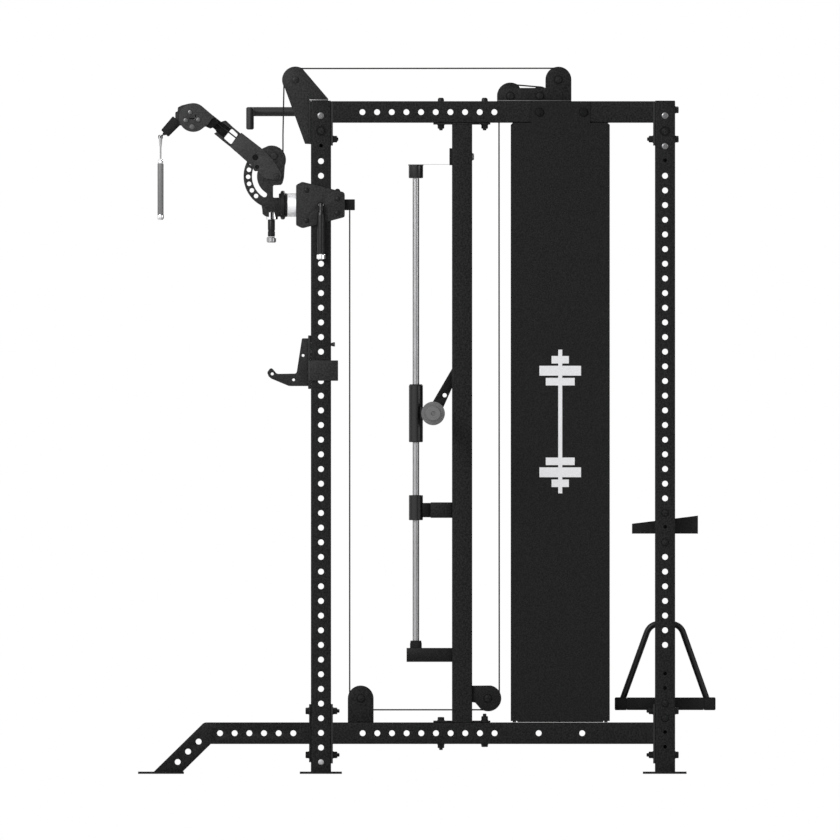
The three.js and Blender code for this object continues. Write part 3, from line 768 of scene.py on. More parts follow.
def pull_up_bar():
    z, tip, start, reach = 2294.7, -616, FRONT_FACE - GAP, 430
    arm_xs = (-300, 300)
    arms = [rod((x, start - PLATE, z), (x, tip, z), 16, 36) for x in arm_xs]
    feet = [box((x - 40, x + 40), (start - PLATE, start + GAP), (2262, 2327)) for x in arm_xs]
    grip = rod((-reach, tip, z), (reach, tip, z), 12.6, 32)
    ends = [rod((x, tip, 2232.5), (x, tip, 2310.5), 13.4, 32, 4) for x in (-reach, reach)]
    piece("pull_up_bar_grip", [*arms, grip, *ends], "bar_enamel", "cage", replaces=["pull_up_bar"])
    piece("pull_up_bar_feet", feet, "frame_paint", "cage", bevel=1.5)


def frame_bolts(side):
    behind_front, before_rear = RAIL_FROM + PLATE, RAIL_TO - PLATE
    seat = BASE_TOP + GAP + PLATE
    near, far = 45.5, 197      # bolts through the rails and the smith upright's flanges
    bolts = [
        (nut, behind_front, TOP_BOLT, BACK),
        (nut, before_rear, TOP_BOLT, FORWARD, 13, 8),
        (hex_head, REAR_FACE, TOP_BOLT, BACK),
        (hex_head, REAR_FACE, 2301, BACK),
        (hex_head, near, seat, UP),
        (nut, near, BASE_Z, DOWN, 12, 9),
        (nut, far, seat, UP, 13, 11),
        (hex_head, far, BASE_Z, DOWN, 8),
    ]
    for z in FLANGE_BOLTS:
        bolts.append((hex_head, FRONT_FACE - PLATE - GAP, z, FORWARD))
        bolts.append((nut, behind_front, z, BACK, 13, 10))
        bolts.append((nut, before_rear, z, FORWARD, 13, 10))
        bolts.append((hex_head, REAR_FACE, z, BACK))
    for y in (near, far):
        bolts.append((dome, y, RAIL_TOP, UP, 11, 12))
        bolts.append((nut, y, TOP_Z - GAP - PLATE, DOWN, 12, 8))
    side.piece("frame_bolts", [make((side.x, y, z), *rest) for make, y, z, *rest in bolts],
               "plastic", angle=28)
    bright = ((FRONT_Y - 1, 2281, 12.4), (REAR_Y, 2281, 12.4), (REAR_Y, 2175, 12))
    side.piece("beam_bolts", [side.stud(button, HALF, *spot, 4.5) for spot in bright], "zinc")
    side.piece("foot_screw", [side.stud(dome, HALF, FRONT_Y, HOLE_Z0, 10, 3)], "bright_zinc")
    dark = [(FRONT_Y + 1, 2227.9, 17.6), (REAR_Y, 2226.5, 17.6)]
    dark += [(REAR_Y, z, 13.6) for z in (193, 243.6, 802.4, 904)]
    side.piece("black_bolts", [side.stud(dome, HALF, y, z, min(12.5, rim - 1.8), 5)
                               for y, z, rim in dark], "frame_paint")
    # The washers' darker paint is partly painted shade in the ring around the bolt heads.
    side.piece("black_washers", [side.stud(flat_washer, HALF, *spot) for spot in dark],
               "deep_paint")
    side.piece("shroud_tab_bolts", [side.stud(dome, SHROUD_FACE, y, 2292.5, 15.5, 7)
                                    for y in (387.4, 540.3)], "deep_paint")


# ---- smith machine --------------------
PEG_Z0, PEG_PITCH, PEGS, PEG_R = 553.2, 101.6, 15, 8
SLEEVE_R = 24.3                # outside of the bearing sleeves on the guide rod
BAR_SHOULDER = 626             # where the bar's shaft ends and its thick sleeves begin
HOOK_FACE = 46                 # inner face of the hook plates, counted inward


def rod_sleeve(side, low, high):
    return sleeve((side.x, ROD_Y, low), (side.x, ROD_Y, high), 12.5, SLEEVE_R, 1.5)


def smith_side(side):
    foot, top = BASE_TOP + GAP, TOP_Z - GAP
    slot = side.block(8, (MID_FACE - 8, MID_BACK + 8), (212, 232))
    tube = side.tube((MID_FACE, MID_BACK), (foot + PLATE, top - PLATE), 2)
    side.piece("smith_upright_tube", [tube], "frame_paint", drills=[slot],
               replaces=["smith_upright"])
    side.piece("smith_upright_flanges",
               [side.block(HALF, (19, 217), zs)
                for zs in ((foot - GAP, foot + PLATE), (top - PLATE, top + GAP))],
               "frame_paint", bevel=1.5)
    seat_y = MID_FACE - 9
    seats = [side.block(30, (seat_y, MID_FACE), (2109, 2168)),
             side.block(25, (ROD_Y - 32.4, MID_FACE), (388, 436.5))]
    side.piece("rod_brackets", seats, "dark_paint", bevel=0.7)
    shelf = side.block(30, (ROD_Y - 26, seat_y), (2111.4, 2112.4))
    side.piece("rod_shelf", [shelf], "zinc")
    cap = [(22, 0), (24.4, 1.2), (25, 4), (25, 43), (27, 45), (27, 47)]
    side.piece("rod_cap", [side.turned(ROD_Y, 2064, cap, 40)], "gloss_black")
    bumper = [(12.2, 0), (20.5, 0), (20.5, 14), (18.5, 25.5), (12.2, 25.5)]
    side.piece("rod_bumper", [side.turned(ROD_Y, 436.5, bumper, 36, True)], "rubber")
    side.piece("smith_rod", [side.pole(0, ROD_Y, 436.8, 2063.7, 11.5, 40)], "rod_steel",
               replaces=["smith_guide_rod"])
    lip = PEG_R + 2
    peg = [(PEG_R, 0), (PEG_R, 19), (lip, 21), (lip, 25.4), (PEG_R, 27)]
    side.piece("hook_pegs",
               [side.stud(lathe, HALF, MID_Y, PEG_Z0 + PEG_PITCH * k, peg, 24, way=-1)
                for k in range(PEGS)], "zinc")
    rear_arm = [(MID_BACK, 306), *arc((209.3, 262), 45.4, 78, -125, 30), (164, 247),
                (MID_BACK, 248)]
    side.piece("rear_pulley_bracket", side.cheeks(rear_arm), "dark_paint", bevel=0.8)
    nuts = [hex_head((side.x + o, MID_BACK, 2138.5), BACK, 4) for o in (-18, 18)]
    side.piece("rod_bracket_bolts", nuts, "zinc", angle=28)


def smith_carriage(side):
    low, high = 1150, 1347
    body = "smith_carriages"
    side.piece("smith_sleeve", [rod_sleeve(side, low, high)], "gloss_black", body,
               replaces=["smith_carriage"])
    block = side.block(22, (ROD_Y + 14, BAR_Y + 22), (BAR_Z - 22, BAR_Z + 22))
    bores = [side.across(BAR_Y, BAR_Z, 15, 40, 36),
             side.pole(0, ROD_Y, low - 10, high + 10, 23.2, 40)]
    side.piece("smith_bearing_block", [block], "dark_paint", body, bevel=4, drills=bores)
    seal = [(12.2, 0), (16, 0), (17.5, 3), (21.5, 3), (22.5, 0.2), (22.5, -0.5), (12.2, -0.5)]
    flat_seal = [(12.2, -0.5), (22.5, -0.5), (22.5, 0.3), (21.5, 0.7), (12.2, 0.7)]
    side.piece("smith_seals", [side.turned(ROD_Y, high, seal, 36, True),
                               side.turned(ROD_Y, low, flat_seal, 36, True, DOWN)], "rubber", body)


def smith_bar():
    shaft = rod((-BAR_SHOULDER, BAR_Y, BAR_Z), (BAR_SHOULDER, BAR_Y, BAR_Z), BAR_R, 40)
    piece("smith_bar_shaft", [shaft], "chrome", "smith_bar", replaces=["smith_bar"])
    tip = BAR_HALF - BAR_SHOULDER
    end = [(39, 0), (41, 1.5), (41, 6.5), (25, 6.5), (25, tip - 1), (24, tip), (7.5, tip),
           (6, tip - 2), (2.6, tip - 2), (1.8, tip - 4)]
    ends = [lathe((side.sign * BAR_SHOULDER, BAR_Y, BAR_Z), (side.sign, 0, 0), end, 56)
            for side in SIDES]
    piece("smith_bar_sleeves", ends, "bar_sleeve", "smith_bar")
    marks = [sleeve((x - 110, BAR_Y, BAR_Z), (x + 110, BAR_Y, BAR_Z), BAR_R - 1, BAR_R + 0.35, 0.2)
             for x in (-300, 300)]
    piece("smith_bar_knurling", marks, "grip", "smith_bar")


def smith_hook(side):
    outline = [*arc((BAR_Y, BAR_Z), 30, 125, 385, 28), (54.4, 1271), (83.9, 1337), (88, 1345),
               (92, 1358), *arc((101, 1372), 11, 215, 130, 6), (100, 1398), (105, 1420),
               (103, 1426), (98, 1428), (83.9, 1404), (16.3, 1288)]
    holes = [circle((BAR_Y, BAR_Z), 14.6, 36), circle((58.5, 1312), 7.3)]
    side.piece("smith_hook_plate", [side.slab(outline, -38, -HOOK_FACE, holes)], "dark_paint",
               "smith_bar", bevel=0.8, replaces=["smith_hook"])
    hub = [(14.3, 0), (22, 0), (23, 1), (23, 10), (22, 11), (14.3, 11)]
    side.piece("smith_hook_hub", [side.stud(lathe, HOOK_FACE, BAR_Y, BAR_Z, hub, 36, True, way=-1)],
               "zinc", "smith_bar")


def safety_stop(side):
    body = "safety_stop"
    side.piece("safety_collar", [rod_sleeve(side, 879, 966)], "gloss_black", body,
               replaces=["safety_stop"])
    face, step, arm_z = MID_FACE - GAP, 9.3, (887, 941)
    arm = [side.block(20, (step, face), arm_z),
           box(side.span(-46, -36), (40, MID_Y - PEG_R - 4), arm_z),
           box(side.span(-36.5, -19.5), (44, face - 6), (893, 935))]
    side.piece("safety_arm", arm, "frame_paint", body, bevel=2)
    # The neck takes the darker paint: painted shade for the shadow that falls on it.
    neck = side.block(12, (ROD_Y + 22, step + 1), (889, 939))
    side.piece("safety_neck", [neck], "deep_paint", body, bevel=2)


# ---- weight stack --------------------
STACK_RODS = (360, 560.6)
STACK_Y, STACK_Z, STACK_PLATES = (310, 608), (196, 720), 20
SEAM = 1.4                     # gap between two weight plates


def weight_stack(side):
    body = "weight_stack"
    step = (STACK_Z[1] - STACK_Z[0]) / STACK_PLATES
    bores = [side.pole(0, y, 180, 735, 10.5, 20) for y in STACK_RODS]
    bottoms = [STACK_Z[0] + step * k for k in range(STACK_PLATES)]
    plates = [side.block(31, STACK_Y, (z, z + step - SEAM)) for z in bottoms]
    side.piece("stack_plates", plates, "cast_iron", body, bevel=1.5, drills=bores,
               replaces=[body])
    cheek = [(430, 720), (490, 720), (490, 815), *arc((460, 815), 30, 0, 180, 14)]
    side.piece("stack_pulley_bracket", side.cheeks(cheek, 14, 19), "frame_paint", body, bevel=0.8)
    rods = [side.pole(0, y, 179.2, 2255.4, 9, 28) for y in STACK_RODS]
    side.piece("stack_rods", rods, "chrome", replaces=["stack_guide"])
    side.piece("stack_base", [side.block(31, STACK_Y, (179.2, 194))], "rubber", bevel=2)


def shroud(side):
    front, rear = SHROUD_Y
    z0, z1, chamfer, sheet = 183, TOP_Z, 7, 2
    ear_y, ear_top = (359, 562), 2330.7
    lower = [(front, z0), (rear, z0), (rear, z1 - chamfer), (rear - chamfer, z1)]
    ear = [(ear_y[1], z1), (ear_y[1], ear_top), (ear_y[0], ear_top), (ear_y[0], z1)]
    upper = [(front + chamfer, z1), (front, z1 - chamfer)]
    panels = [side.slab(lower + ear + upper, SHROUD_FACE - sheet, SHROUD_FACE),
              side.slab(lower + upper, -SHROUD_FACE, sheet - SHROUD_FACE)]
    panels += [side.block(SHROUD_FACE - sheet, ys, (z0, z1 - chamfer))
               for ys in ((front, front + sheet), (rear - sheet, rear))]
    side.piece("shroud_panels", panels, "dark_paint", replaces=["shroud"])
    feet = [side.pole(o, y, 178.9, z0 + 1, 6, 20) for o in (-30, 30) for y in (300, 617)]
    rivets = [side.stud(button, SHROUD_FACE, y, z, 4.5, 1.6)
              for y in (front + 12, rear - 12) for z in (z0 + 14, z1 - 24)]
    side.piece("shroud_screws", feet + rivets, "plastic")


# A plain upright barbell sign, printed on the outer panel: one outline, mirrored end to end.
def shroud_sign(side):
    middle, low, high, shaft = 458.9, 972, 1470, 7
    profile = [(shaft, 0)]
    for reach, start, thick in ((30, 22, 26), (72, 56, 34), (50, 98, 26)):
        profile += [(shaft, start), (reach, start), (reach, start + thick), (shaft, start + thick)]
    half = [(reach, low + z) for reach, z in profile]
    half += [(reach, high - z) for reach, z in reversed(profile)]
    outline = [(middle + reach, z) for reach, z in half]
    outline += [(middle - reach, z) for reach, z in reversed(half)]
    side.piece("shroud_sign", [side.slab(outline, SHROUD_FACE, SHROUD_FACE + 0.4)], "decal")


# ---- pulleys and cables --------------------
FIXED_PULLEYS = ((TOWER, PULLEY_R), (RISE, RISE_R), (FALL, PULLEY_R), (FOOT_FRONT, PULLEY_R),
                 (FOOT_REAR, PULLEY_R))


# A wheel with a rounded rim and a groove that holds the cable, of half the given width each way.
def pulley(side, centre, radius, width=11):
    groove = radius - CABLE_R - 0.4
    rim = radius + 2
    half = [(groove, 2), (groove + 1, 3.6), (rim - 0.2, width - 2), (rim, width - 0.6),
            (rim - 0.6, width), (6.5, width)]
    section = [(r, -h) for r, h in reversed(half)] + half
    return side.turned(*centre, section, 48, True, (1, 0, 0))


def axle(side, centre, reach=CHEEK, radius=6.3, head=13):
    return [side.across(*centre, radius, reach, 20), *side.pair(dome, reach, *centre, head, 6)]


def pulleys(side):
    side.piece("cage_pulleys", [pulley(side, *spot) for spot in FIXED_PULLEYS], "plastic")
    wheels = (
        ("stack_pulley", STACK, STACK_R, 11, "weight_stack"),
        ("arm_root_pulley", ARM_PULLEY, ROOT_R, 10, "swivel_yoke"),
        ("arm_tip_pulley", HEAD, TIP_R, 10, "trainer_arm"),
    )
    for name, centre, radius, width, body in wheels:
        side.piece(name, [pulley(side, centre, radius, width)], "plastic", body)
    side.piece("horn_pulley", [pulley(side, HORN, PULLEY_R)], "plastic", "top_front_pulley",
               replaces=["top_front_pulley"])
    axles = [part for centre, _ in FIXED_PULLEYS for part in axle(side, centre)]
    side.piece("pulley_axles", axles, "frame_paint")
    washers = [part for centre, _ in FIXED_PULLEYS
               for part in side.pair(flat_washer, CHEEK, *centre, 15.2)]
    side.piece("axle_washers", washers, "deep_paint")
    side.piece("horn_axle", axle(side, HORN, head=12), "plate_paint")
    side.piece("stack_axle", axle(side, STACK, 19, head=10.5), "zinc", "weight_stack")


def straight(start, end, step):
    count = max(2, int(math.dist(start, end) / step))
    rise = (end[0] - start[0], end[1] - start[1])
    return [(start[0] + rise[0] * i / count, start[1] + rise[1] * i / count)
            for i in range(count + 1)]


def on(centre, radius, degrees):
    turn = math.radians(degrees)
    return (centre[0] + radius * math.cos(turn), centre[1] + radius * math.sin(turn))


# The turn, in degrees, at which a cable leaves the first pulley for the second one. It passes over
# both of them, or crosses between them when the second radius is given as negative.
def leaving(first, first_r, second, second_r):
    gap = (second[0] - first[0], second[1] - first[1])
    lean = math.acos((first_r - second_r) / math.hypot(*gap))
    return math.degrees(math.atan2(gap[1], gap[0]) + lean)


def cables(side):
    carriage, yoke, arm, stack = "trainer_carriage", "swivel_yoke", "trainer_arm", "weight_stack"
    top_run = [*arc(HORN, PULLEY_R, 180, 90, 16), *arc(TOWER, PULLEY_R, 90, 0, 16)]
    side.cable("cable_top_run", top_run, "cage", replaces=["main_cable"])
    over = leaving(FALL, PULLEY_R, RISE, RISE_R)
    back_run = [*arc(RISE, RISE_R, 0, over, 16), *arc(FALL, PULLEY_R, over, 180, 16),
                *arc(FOOT_REAR, PULLEY_R, 0, -90, 16), *arc(FOOT_FRONT, PULLEY_R, 270, 180, 16)]
    side.cable("cable_return_run", back_run, "cage")
    loop = arc(STACK, STACK_R, 0, -180, 20)
    side.cable("cable_stack_in", straight(on(TOWER, PULLEY_R, 0), loop[0], 60), "cage", stack)
    side.cable("cable_stack_out", straight(on(RISE, RISE_R, 0), loop[-1], 60), "cage", stack)
    side.cable("cable_stack_loop", loop, stack)
    lift_y = FOOT_FRONT[0] - PULLEY_R
    lift = straight((lift_y, FOOT_FRONT[1]), (lift_y, SLIDE_Z - 18), 60)
    side.cable("cable_lift_run", lift, "cage", carriage, replaces=["lower_cable_drop"])
    horn_y, root_y, split = HORN[0] - PULLEY_R, ARM_PULLEY[0] + ROOT_R, 2215
    drop = straight((horn_y, HORN[1]), (root_y, split), 15)
    side.cable("cable_drop", drop, "cage", carriage, replaces=["upper_cable_drop"])
    side.cable("cable_neck", straight((root_y, split), (root_y, ARM_PULLEY[1]), 6), carriage, yoke)
    leave = leaving(ARM_PULLEY, ROOT_R, HEAD, -TIP_R)
    wrap = arc(ARM_PULLEY, ROOT_R, 0, leave - 360, 18)
    side.cable("cable_root_wrap", wrap, yoke)
    head = arc(HEAD, TIP_R, leave - 180, 137.2, 14)
    run = straight(wrap[-1], head[0], 8)
    half = len(run) // 2
    side.cable("cable_root_run", run[:half + 1], yoke, arm)
    side.cable("cable_along_arm", [run[half], *head, BOOT_END], arm)
    side.cable("cable_tail", straight(BOOT_END, (HANDLE_Y + 2, 2209), 5), arm, "cable_link")


def pulley_horn(side):
    face, cap, back = FRONT_FACE - GAP, POST_H + GAP, -344.8
    outline = [(face, 2182), (face, cap), (back, cap), (back, 2339),
               *arc(HORN, 46.5, 59.5, 217, 26), (-425.5, 2183)]
    side.piece("pulley_horn_plates", side.cheeks(outline), "plate_paint", bevel=0.8,
               replaces=["pulley_horn"])
    saddle = side.block(30, (face - 5, face + GAP), (2182, cap))
    side.piece("pulley_horn_saddle", [saddle], "plate_paint", bevel=1)
    # The cover's light zinc is painted highlight for the bright line along the horn's top edge.
    cover = side.block(31, (face - 5, back), (POST_H, cap + 4))
    side.piece("pulley_horn_cover", [cover], "zinc", bevel=0.8)


# ---- pulley trainer --------------------
YOKE_NEAR, YOKE_FAR = 12, 17
ARM_NEAR, ARM_FAR = 18, 24
CARRIAGE_NEAR, CARRIAGE_FAR = 36, 42


def trainer_carriage(side):
    body = "trainer_carriage"
    front, rear = -456.5, -287.6
    outline = [(front, 2038), (-453, 2042.5), (-437, 2051), (-430, 2050.6), (-335.4, 2027.4),
               (-292.4, 2015.9), (-288.4, 2011), (rear, 2004), (rear, 1936), (-289, 1930),
               (-294, 1927.5), (-430, 1891.4), (-438, 1892), (-454, 1899.5), (front, 1904)]
    side.piece("carriage_plates", side.cheeks(outline, CARRIAGE_NEAR, CARRIAGE_FAR), "plate_paint",
               body, bevel=1.2, drills=[side.across(FRONT_Y, SLIDE_Z, 9, 60)], replaces=[body])
    blocks = [side.block(CARRIAGE_NEAR, (front, FRONT_FACE - 1), (1902, 2040)),
              side.block(CARRIAGE_NEAR, (FRONT_Y + HALF + 1, rear), (1935, 2006)),
              side.block(16, (-289, -252.6), (1953, 1991))]
    side.piece("carriage_blocks", blocks, "dark_paint", body, bevel=2)
    spots = ((-420, 2022.5), (-420, 1917.9), (-312, 1992.7), (-313, 1942.8))
    bolts = [part for spot in spots for part in side.pair(dome, CARRIAGE_FAR, *spot, 8.4, 5)]
    side.piece("carriage_bolts", bolts, "plastic", body)
    buffer = rod((side.out(-30), -313, 2018), (side.out(30), -313, 2018), 10, 28, 2)
    side.piece("carriage_buffer", [buffer], "rubber", body)
    tube = rod((side.x, -455, SLIDE_Z), (side.x, -486.2, SLIDE_Z), 40.6, 56, 1)
    side.piece("swivel_tube", [tube], "tube_chrome", body)


def lock_lever(side):
    body = "lock_lever"
    hang = side.out(56)
    grip = [(11, 0), (13.2, 3), (13.2, 134), (12.4, 143), (9.4, 149), (8.6, 154), (8.6, 172),
            (6.6, 178), (2.5, 180.5)]
    shaft = rod((side.out(37), FRONT_Y, SLIDE_Z), (hang, FRONT_Y, SLIDE_Z), 8, 28, 0.8)
    side.piece("lever_grip", [lathe((hang, FRONT_Y, 1800), UP, grip, 40), shaft], "lacquer", body,
               replaces=[body])
    tip = [(12.5, 0), (15.5, 3), (15.5, 16), (13, 19)]
    side.piece("lever_metal", [lathe((hang, FRONT_Y, 1782), UP, tip, 36)], "chrome", body)


# A slot along an arc, with round ends.
def arc_slot(centre, radius, start, end, half_width):
    far_end = arc(on(centre, radius, end), half_width, end, end + 180, 8)
    near_end = arc(on(centre, radius, start), half_width, start - 180, start - 360, 8)
    return [*arc(centre, radius + half_width, start, end, 24), *far_end[1:-1],
            *arc(centre, radius - half_width, end, start, 24), *near_end[1:-1]]


def swivel_yoke(side):
    body = "swivel_yoke"
    outline = [(-516, 1997), (-533, 1996.5), (-536, 2000), (-536, 2036), (-533, 2039.5),
               (-509, 2040.5), (-503.6, 2046), (-498.3, 2065),
               *arc((-541.3, 2127.5), 50, -22, 105, 18), *arc(PIVOT, 114, 133, 243, 30),
               (-574, 1957), (-572.6, 1940), (-564, 1932.7), (-556, 1930), (-516, 1930)]
    index = [on(PIVOT, 98, 137.9 + 14.35 * k) for k in range(7)]
    holes = [arc_slot(PIVOT, 76, 160, 237, 8.6), *(circle(centre, 7.7, 24) for centre in index)]
    side.piece("index_plates", side.cheeks(outline, YOKE_NEAR, YOKE_FAR, holes), "plate_paint",
               body, bevel=0.7, replaces=[body])
    neck = side.block(YOKE_NEAR - 0.2, (-573, -515), (1946, 1996))
    side.piece("yoke_neck", [neck], "dark_paint", body, bevel=1.5)
    ring = [(38.5, 0), (41, 3), (41, 5.5), (46.5, 6.5), (50, 10), (50, 18), (46.5, 21.5),
            (41, 22.5), (41, 27.5), (39.5, 29.8)]
    side.piece("index_ring", [side.turned(-516.3, SLIDE_Z, ring, 56, axis=BACK)], "plastic", body)
    housing = [(18, 0), (20, 2), (20, 25), (18, 27)]
    side.piece("pin_housing", [side.turned(-539.5, 1920.5, housing, 40)], "chrome", body)
    side.piece("pin_stem", [side.pole(18, -541, 1921, 1947, 4.2, 20)], "plastic", body)
    side.piece("root_axle", axle(side, ARM_PULLEY, YOKE_FAR, 6), "plate_paint", body)


def pull_pin(side):
    body, y = "pull_pin", -541.9
    grip = [(11, 0), (12.5, 2), (12.5, 16), (11.6, 17), (11.6, 22), (12.5, 23), (12.5, 56),
            (11, 58.7)]
    side.piece("pin_grip", [side.turned(y, 1862, grip)], "plastic", body, replaces=[body])
    knob = [(13, 0), (16.3, 3.5), (16.3, 16), (13, 20)]
    side.piece("pin_knob", [side.turned(y, 1841, knob)], "rod_steel", body)


# Where the two pins pass through the arm's plates.
ARM_PIN, ARM_STOP = (-597.4, 2136), (-591.1, 2102.4)


def trainer_arm(side):
    body = "trainer_arm"
    plate = [(-685.7, 2174), (-589.5, 2088), (-566, 2064.5), (-556, 2061),
             *arc((-523, 2073.5), 16.5, -95, 15, 6), (-511, 2087), (-522.6, 2106), (-536, 2127),
             (-552.7, 2146), (-580.4, 2171.2), (-645.9, 2221.9)]
    holes = [circle(ARM_PIN, 10.3), circle(ARM_STOP, 7)]
    side.piece("arm_plates", side.cheeks(plate, ARM_NEAR, ARM_FAR, holes), "arm_paint", body,
               bevel=1, replaces=[body])
    fork = [(-740.9, 2218.6), (-716.3, 2198), (-685.5, 2173.4), (-665, 2155), (-645, 2176),
            (-625, 2200), (-650.6, 2220.6), (-675.2, 2241.2), (-695.7, 2260.9), (-701.9, 2264.1),
            (-716.3, 2259.6), (-707.2, 2253.5), (-695.7, 2244.4), (-680, 2233.5), (-676.2, 2233.6),
            (-659.5, 2217.5), (-659.3, 2213), (-679.5, 2183.5), (-684, 2183), (-704.5, 2200.5),
            (-705, 2204.5), (-731.9, 2223.9)]
    side.piece("arm_fork", side.cheeks(fork, 12, 17.8), "plate_paint", body, bevel=0.6)
    front = [(-795, 2262), (-786, 2314)]
    back = [(-745, 2239.1), (-753.2, 2235.8), (-773.7, 2244.4)]
    core = [*front, (-716.3, 2259.6), (-707.2, 2253.5), (-695.7, 2244.4), (-681, 2234),
            (-705.5, 2204), (-731.9, 2223.9), (-736.8, 2232.1), *back]
    hood = [*front, (-733, 2272.8), (-725, 2256), *back]
    side.piece("arm_neck", [side.slab(core, -16.6, -4), side.slab(hood, 12, 16.6)], "deep_paint",
               body, bevel=0.8)


def arm_tip(side):
    body = "trainer_arm"
    head = [*arc(HEAD, 50, 56.5, 315, 40), (-768.9, 2244.2), (-762.3, 2248.8), (-749, 2269.4),
            (-737.3, 2275.4)]
    notch = [(-826, 2268.5), (-806, 2268.5), (-801, 2284), (-805, 2284.5), (-809, 2272.5),
             (-826, 2272.5)]
    side.piece("tip_head", side.cheeks(head, 17, ARM_FAR, [notch]), "arm_paint", body, bevel=1.5)
    carrier = [(-840, 2236), (-853.8, 2246.2), (-860, 2247.5), (-875, 2270), (-875, 2291.3),
               (-867, 2296.6), (-865.7, 2309.8), (-852.4, 2316.5), (-839.2, 2319.8), (-826, 2323),
               (-812, 2322), (-812, 2240)]
    side.piece("tip_carrier", side.cheeks(carrier, 12.4, 16.8), "plate_paint", body, bevel=0.8)
    side.piece("boot_seat", [side.block(12.2, (-874, -858), (2262, 2294))], "dark_paint", body,
               bevel=1.5)
    spots = ((-823.3, 2292.8, 8.6), (-838.5, 2264.7, 8.6), (-794.9, 2266.8, 8.6),
             (-816.7, 2241.9, 9.9))
    bolts = [part for spot in spots for part in side.pair(dome, ARM_FAR, *spot, 4)]
    side.piece("tip_bolts", bolts, "bolt_grey", body)
    side.piece("tip_axle", [side.across(*HEAD, 6.3, 16, 20)], "dark_paint", body)


def arm_fasteners(side):
    body = "trainer_arm"
    side.piece("arm_bolts", side.pair(dome, ARM_FAR, *PIVOT, 11, 5), "plate_paint", body)
    # The pins sit recessed in the plates; their darker paint is painted shade for the dark hollow.
    pins = [side.across(*ARM_PIN, 10.1, 20, 24), side.across(*ARM_STOP, 6.9, 21, 24)]
    side.piece("arm_pins", pins, "deep_paint", body)


def cable_boot(side):
    start = Vector((side.x, -868.4, 2265.8))
    boot = [(4.6, 0), (18, 0), (20, 3), (17.4, 60), (15.5, 63.8), (6.5, 63.8), (5.2, 69),
            (4.6, 69)]
    way = Vector((side.x, *BOOT_END)) - start
    side.piece("cable_boot", [lathe(start, way, boot, 36, True)], "rubber", "trainer_arm")


def handle(side):
    link, body = "cable_link", "handle"
    x, pin_z = side.x, 2134
    ferrule = [(5.5, 0), (8, 2), (8, 11), (5.5, 14)]
    bar = rod((x - 11, HANDLE_Y, 2207), (x + 11, HANDLE_Y, 2207), 3, 20, 0.5)
    side.piece("link_ferrule", [side.turned(HANDLE_Y, 2200, ferrule, 28), bar], "plastic", link,
               replaces=[link])
    strap = [(HANDLE_Y - 6.2, 2198), *arc((HANDLE_Y, 2209), 4.5, 180, 0, 8),
             (HANDLE_Y + 6.2, 2198), (HANDLE_Y + 3, 2169),
             *arc((HANDLE_Y, pin_z), 3, 0, -180, 8), (HANDLE_Y - 3, 2169)]
    side.piece("link_strap", side.cheeks(strap, 8.3, 9.9), "rod_steel", link, bevel=0.4)
    grip = [(10, 0), (10.5, 1), (10.5, 178), (9.5, 179)]
    side.piece("handle_grip", [side.turned(HANDLE_Y, 1936, grip)], "handle_grip", body,
               replaces=[body])
    cap = [(0, 0), (8, 0.6), (11, 4), (11.5, 8), (11.5, 14), (10.8, 17)]
    top = [(7.5, 0), (8.8, 3.5), (8.8, 8), (6.5, 12), (8, 13.5), (8, 16), (2.4, 16.5), (2.4, 18)]
    eye = rod((x - 8, HANDLE_Y, pin_z), (x + 8, HANDLE_Y, pin_z), 2.6, 24, 0.5)
    side.piece("handle_ends", [side.turned(HANDLE_Y, 1919.5, cap),
                               side.turned(HANDLE_Y, 2114, top), eye], "chrome", body)


# ---- bar holder --------------------
def bar_holder(side):
    body = "bar_holder"
    face = FRONT_FACE - GAP
    hook = [(-412, 1509.4), (-434, 1509.4), (-436.6, 1506), (-454, 1393),
            *arc((-462, 1395), 8, -8, -80, 4), (-519, 1386), (-525, 1388.5), (-536.7, 1402.8),
            (-542.2, 1405.8), (-547.7, 1403.6), (-555, 1393.7), (-556, 1388.3), (-551.3, 1377.3),
            (-542.2, 1369.3), (-482.3, 1344.4), (-476, 1343.7), (-412, 1343.7)]
    low_hole = circle((-465, 1365.5), 4.7)
    holes = [circle((-432, 1450), 4.8), low_hole, circle((-539, 1386), 5.2)]
    side.piece("holder_hooks", side.cheeks(hook, 19, 25, holes), "plate_paint", body, bevel=1,
               replaces=[body])
    band_z = (1362, 1432.8)
    back = side.block(30, (face - 9.4, face + 0.25), (1333.7, 1519.4))
    flap = box(side.span(36, 42), (face - 1, -310.8), band_z)
    side.piece("holder_back", [back, flap], "plate_paint", body, bevel=1.5)
    band = side.block(42, (face - 9, face - 1), band_z)
    side.piece("holder_band", [band], "arm_paint", body, bevel=2)
    tray = [(-452, 1386.2), (-518, 1386.2), (-533, 1374), (-482, 1350), (-430, 1350), (-430, 1420)]
    side.piece("holder_liner", [side.slab(tray, -18.8, 18.8, [low_hole])], "rubber", body, bevel=2)
    pin = [(5.4, 0), (5.4, 80), (7.4, 86), (7.4, 91), (6.4, 92)]
    side.piece("holder_pin", [side.turned(face - 8, 1488.2, pin, 28, axis=BACK)], "bolt_grey",
               body)


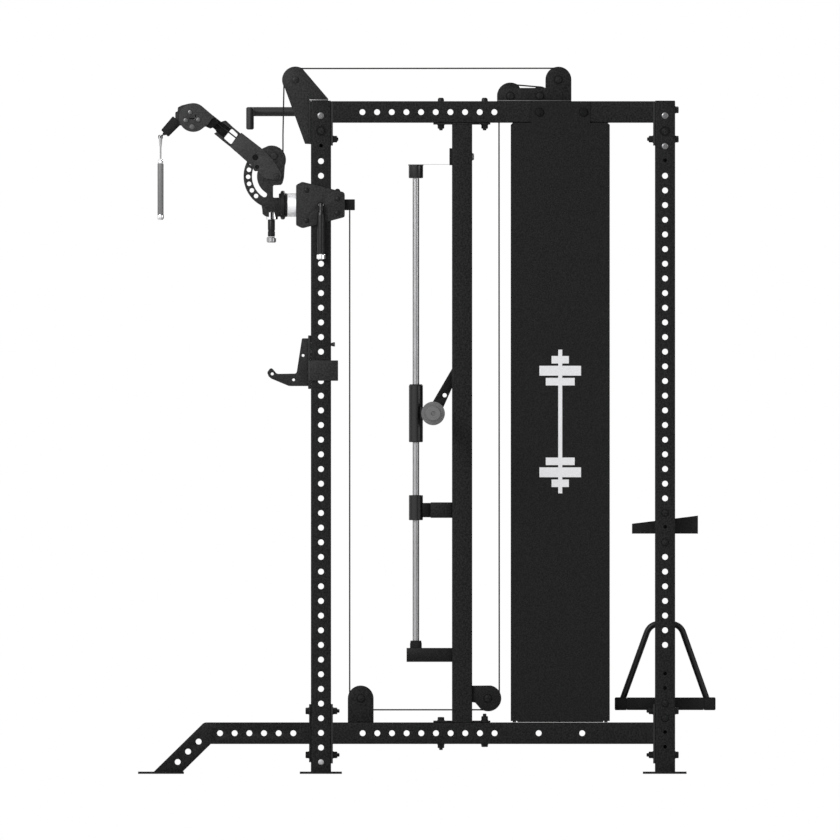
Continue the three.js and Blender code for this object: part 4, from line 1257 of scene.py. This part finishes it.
# ---- storage --------------------
def accessory_shelf():
    sheet = 3
    reach = INNER - sheet
    tray = [(707.6, 832.5), (936, 832.5), (936, 894.7), (932, 894.7), (932, 836.5),
            (711.6, 836.5), (711.6, 867), (707.6, 867)]
    end = [(707.6, 832.5), (936, 832.5), (936, 894.7), (707.6, 867)]
    ends = [prism(end, *xs) for xs in end_spans(INNER, sheet)]
    piece("shelf_tray", [prism(tray, -reach, reach), *ends], "dark_paint", "cage", bevel=1,
          replaces=["accessory_shelf"])
    tabs = [box(xs, (REAR_Y - 32, REAR_Y + 32), (806, 907)) for xs in end_spans(reach, sheet)]
    piece("shelf_tabs", tabs, "plate_paint", "cage", bevel=1)
    mat = box((12 - INNER, INNER - 12), (716, 928), (836.7, 839.5))
    piece("shelf_mat", [mat], "rubber", "cage", bevel=1)


def plate_rack():
    z0, z1, reach = 220.7, 265.4, 535
    front, rear = (647.6, 690), (955, 997.2)
    stations = [-480 + 240 * k for k in range(5)]
    rims = [square_tube((-reach, low, z0), (reach, high, z1), 0) for low, high in (front, rear)]
    sides = [square_tube((left, front[1], z0 + 0.5), (right, rear[0], z1 - 0.5), 1)
             for left, right in end_spans(reach, 34)]
    ties = [box((x - 15, x + 15), (688, 957), (z0 + 4, z1 - 10)) for x in stations[1:-1]]
    piece("rack_base", rims + sides + ties, "dark_paint", "cage", replaces=["plate_rack"])
    hoops = [sweep(rounded([(x, 672, 250), (x, 770, 520), (x, 874, 520), (x, 970, 250)], 34, 10),
                   10.75, 20) for x in stations]
    piece("rack_dividers", hoops, "satin_black", "cage")
    caps = [box(xs, (low + 1, high - 1), (z0 + 1, z1 - 1))
            for low, high in (front, rear) for xs in end_spans(reach, 3)]
    piece("rack_caps", caps, "dark_paint", "cage", bevel=1)


# ---- assembly --------------------
MIRRORED = (rails, outrigger, frame_bolts, smith_side, smith_carriage, smith_hook, safety_stop,
            weight_stack, shroud, shroud_sign, pulleys, cables, pulley_horn, trainer_carriage,
            lock_lever, swivel_yoke, pull_pin, trainer_arm, arm_tip, arm_fasteners, cable_boot,
            handle, bar_holder)

camera()
studio()
for side in SIDES:
    upright(side, "front", FRONT_Y, (-443.5, -297.6), (0, 43, 44), (42,))
    upright(side, "rear", REAR_Y, (745.3, 896.7), (0, 3, 4, 7, 15, 17, 42, 43, 44),
            (1, 2, 5, 6, 16, 41))
    for build in MIRRORED:
        build(side)
cross_beam("front_cross_beam", FRONT_Y, TOP_Z, (2196, RAIL_TOP))
cross_beam("rear_cross_beam", REAR_Y, TOP_Z, (2153, RAIL_TOP))
cross_beam("rear_base_beam", REAR_Y, 145, (145, 270))
pull_up_bar()
smith_bar()
accessory_shelf()
plate_rack()
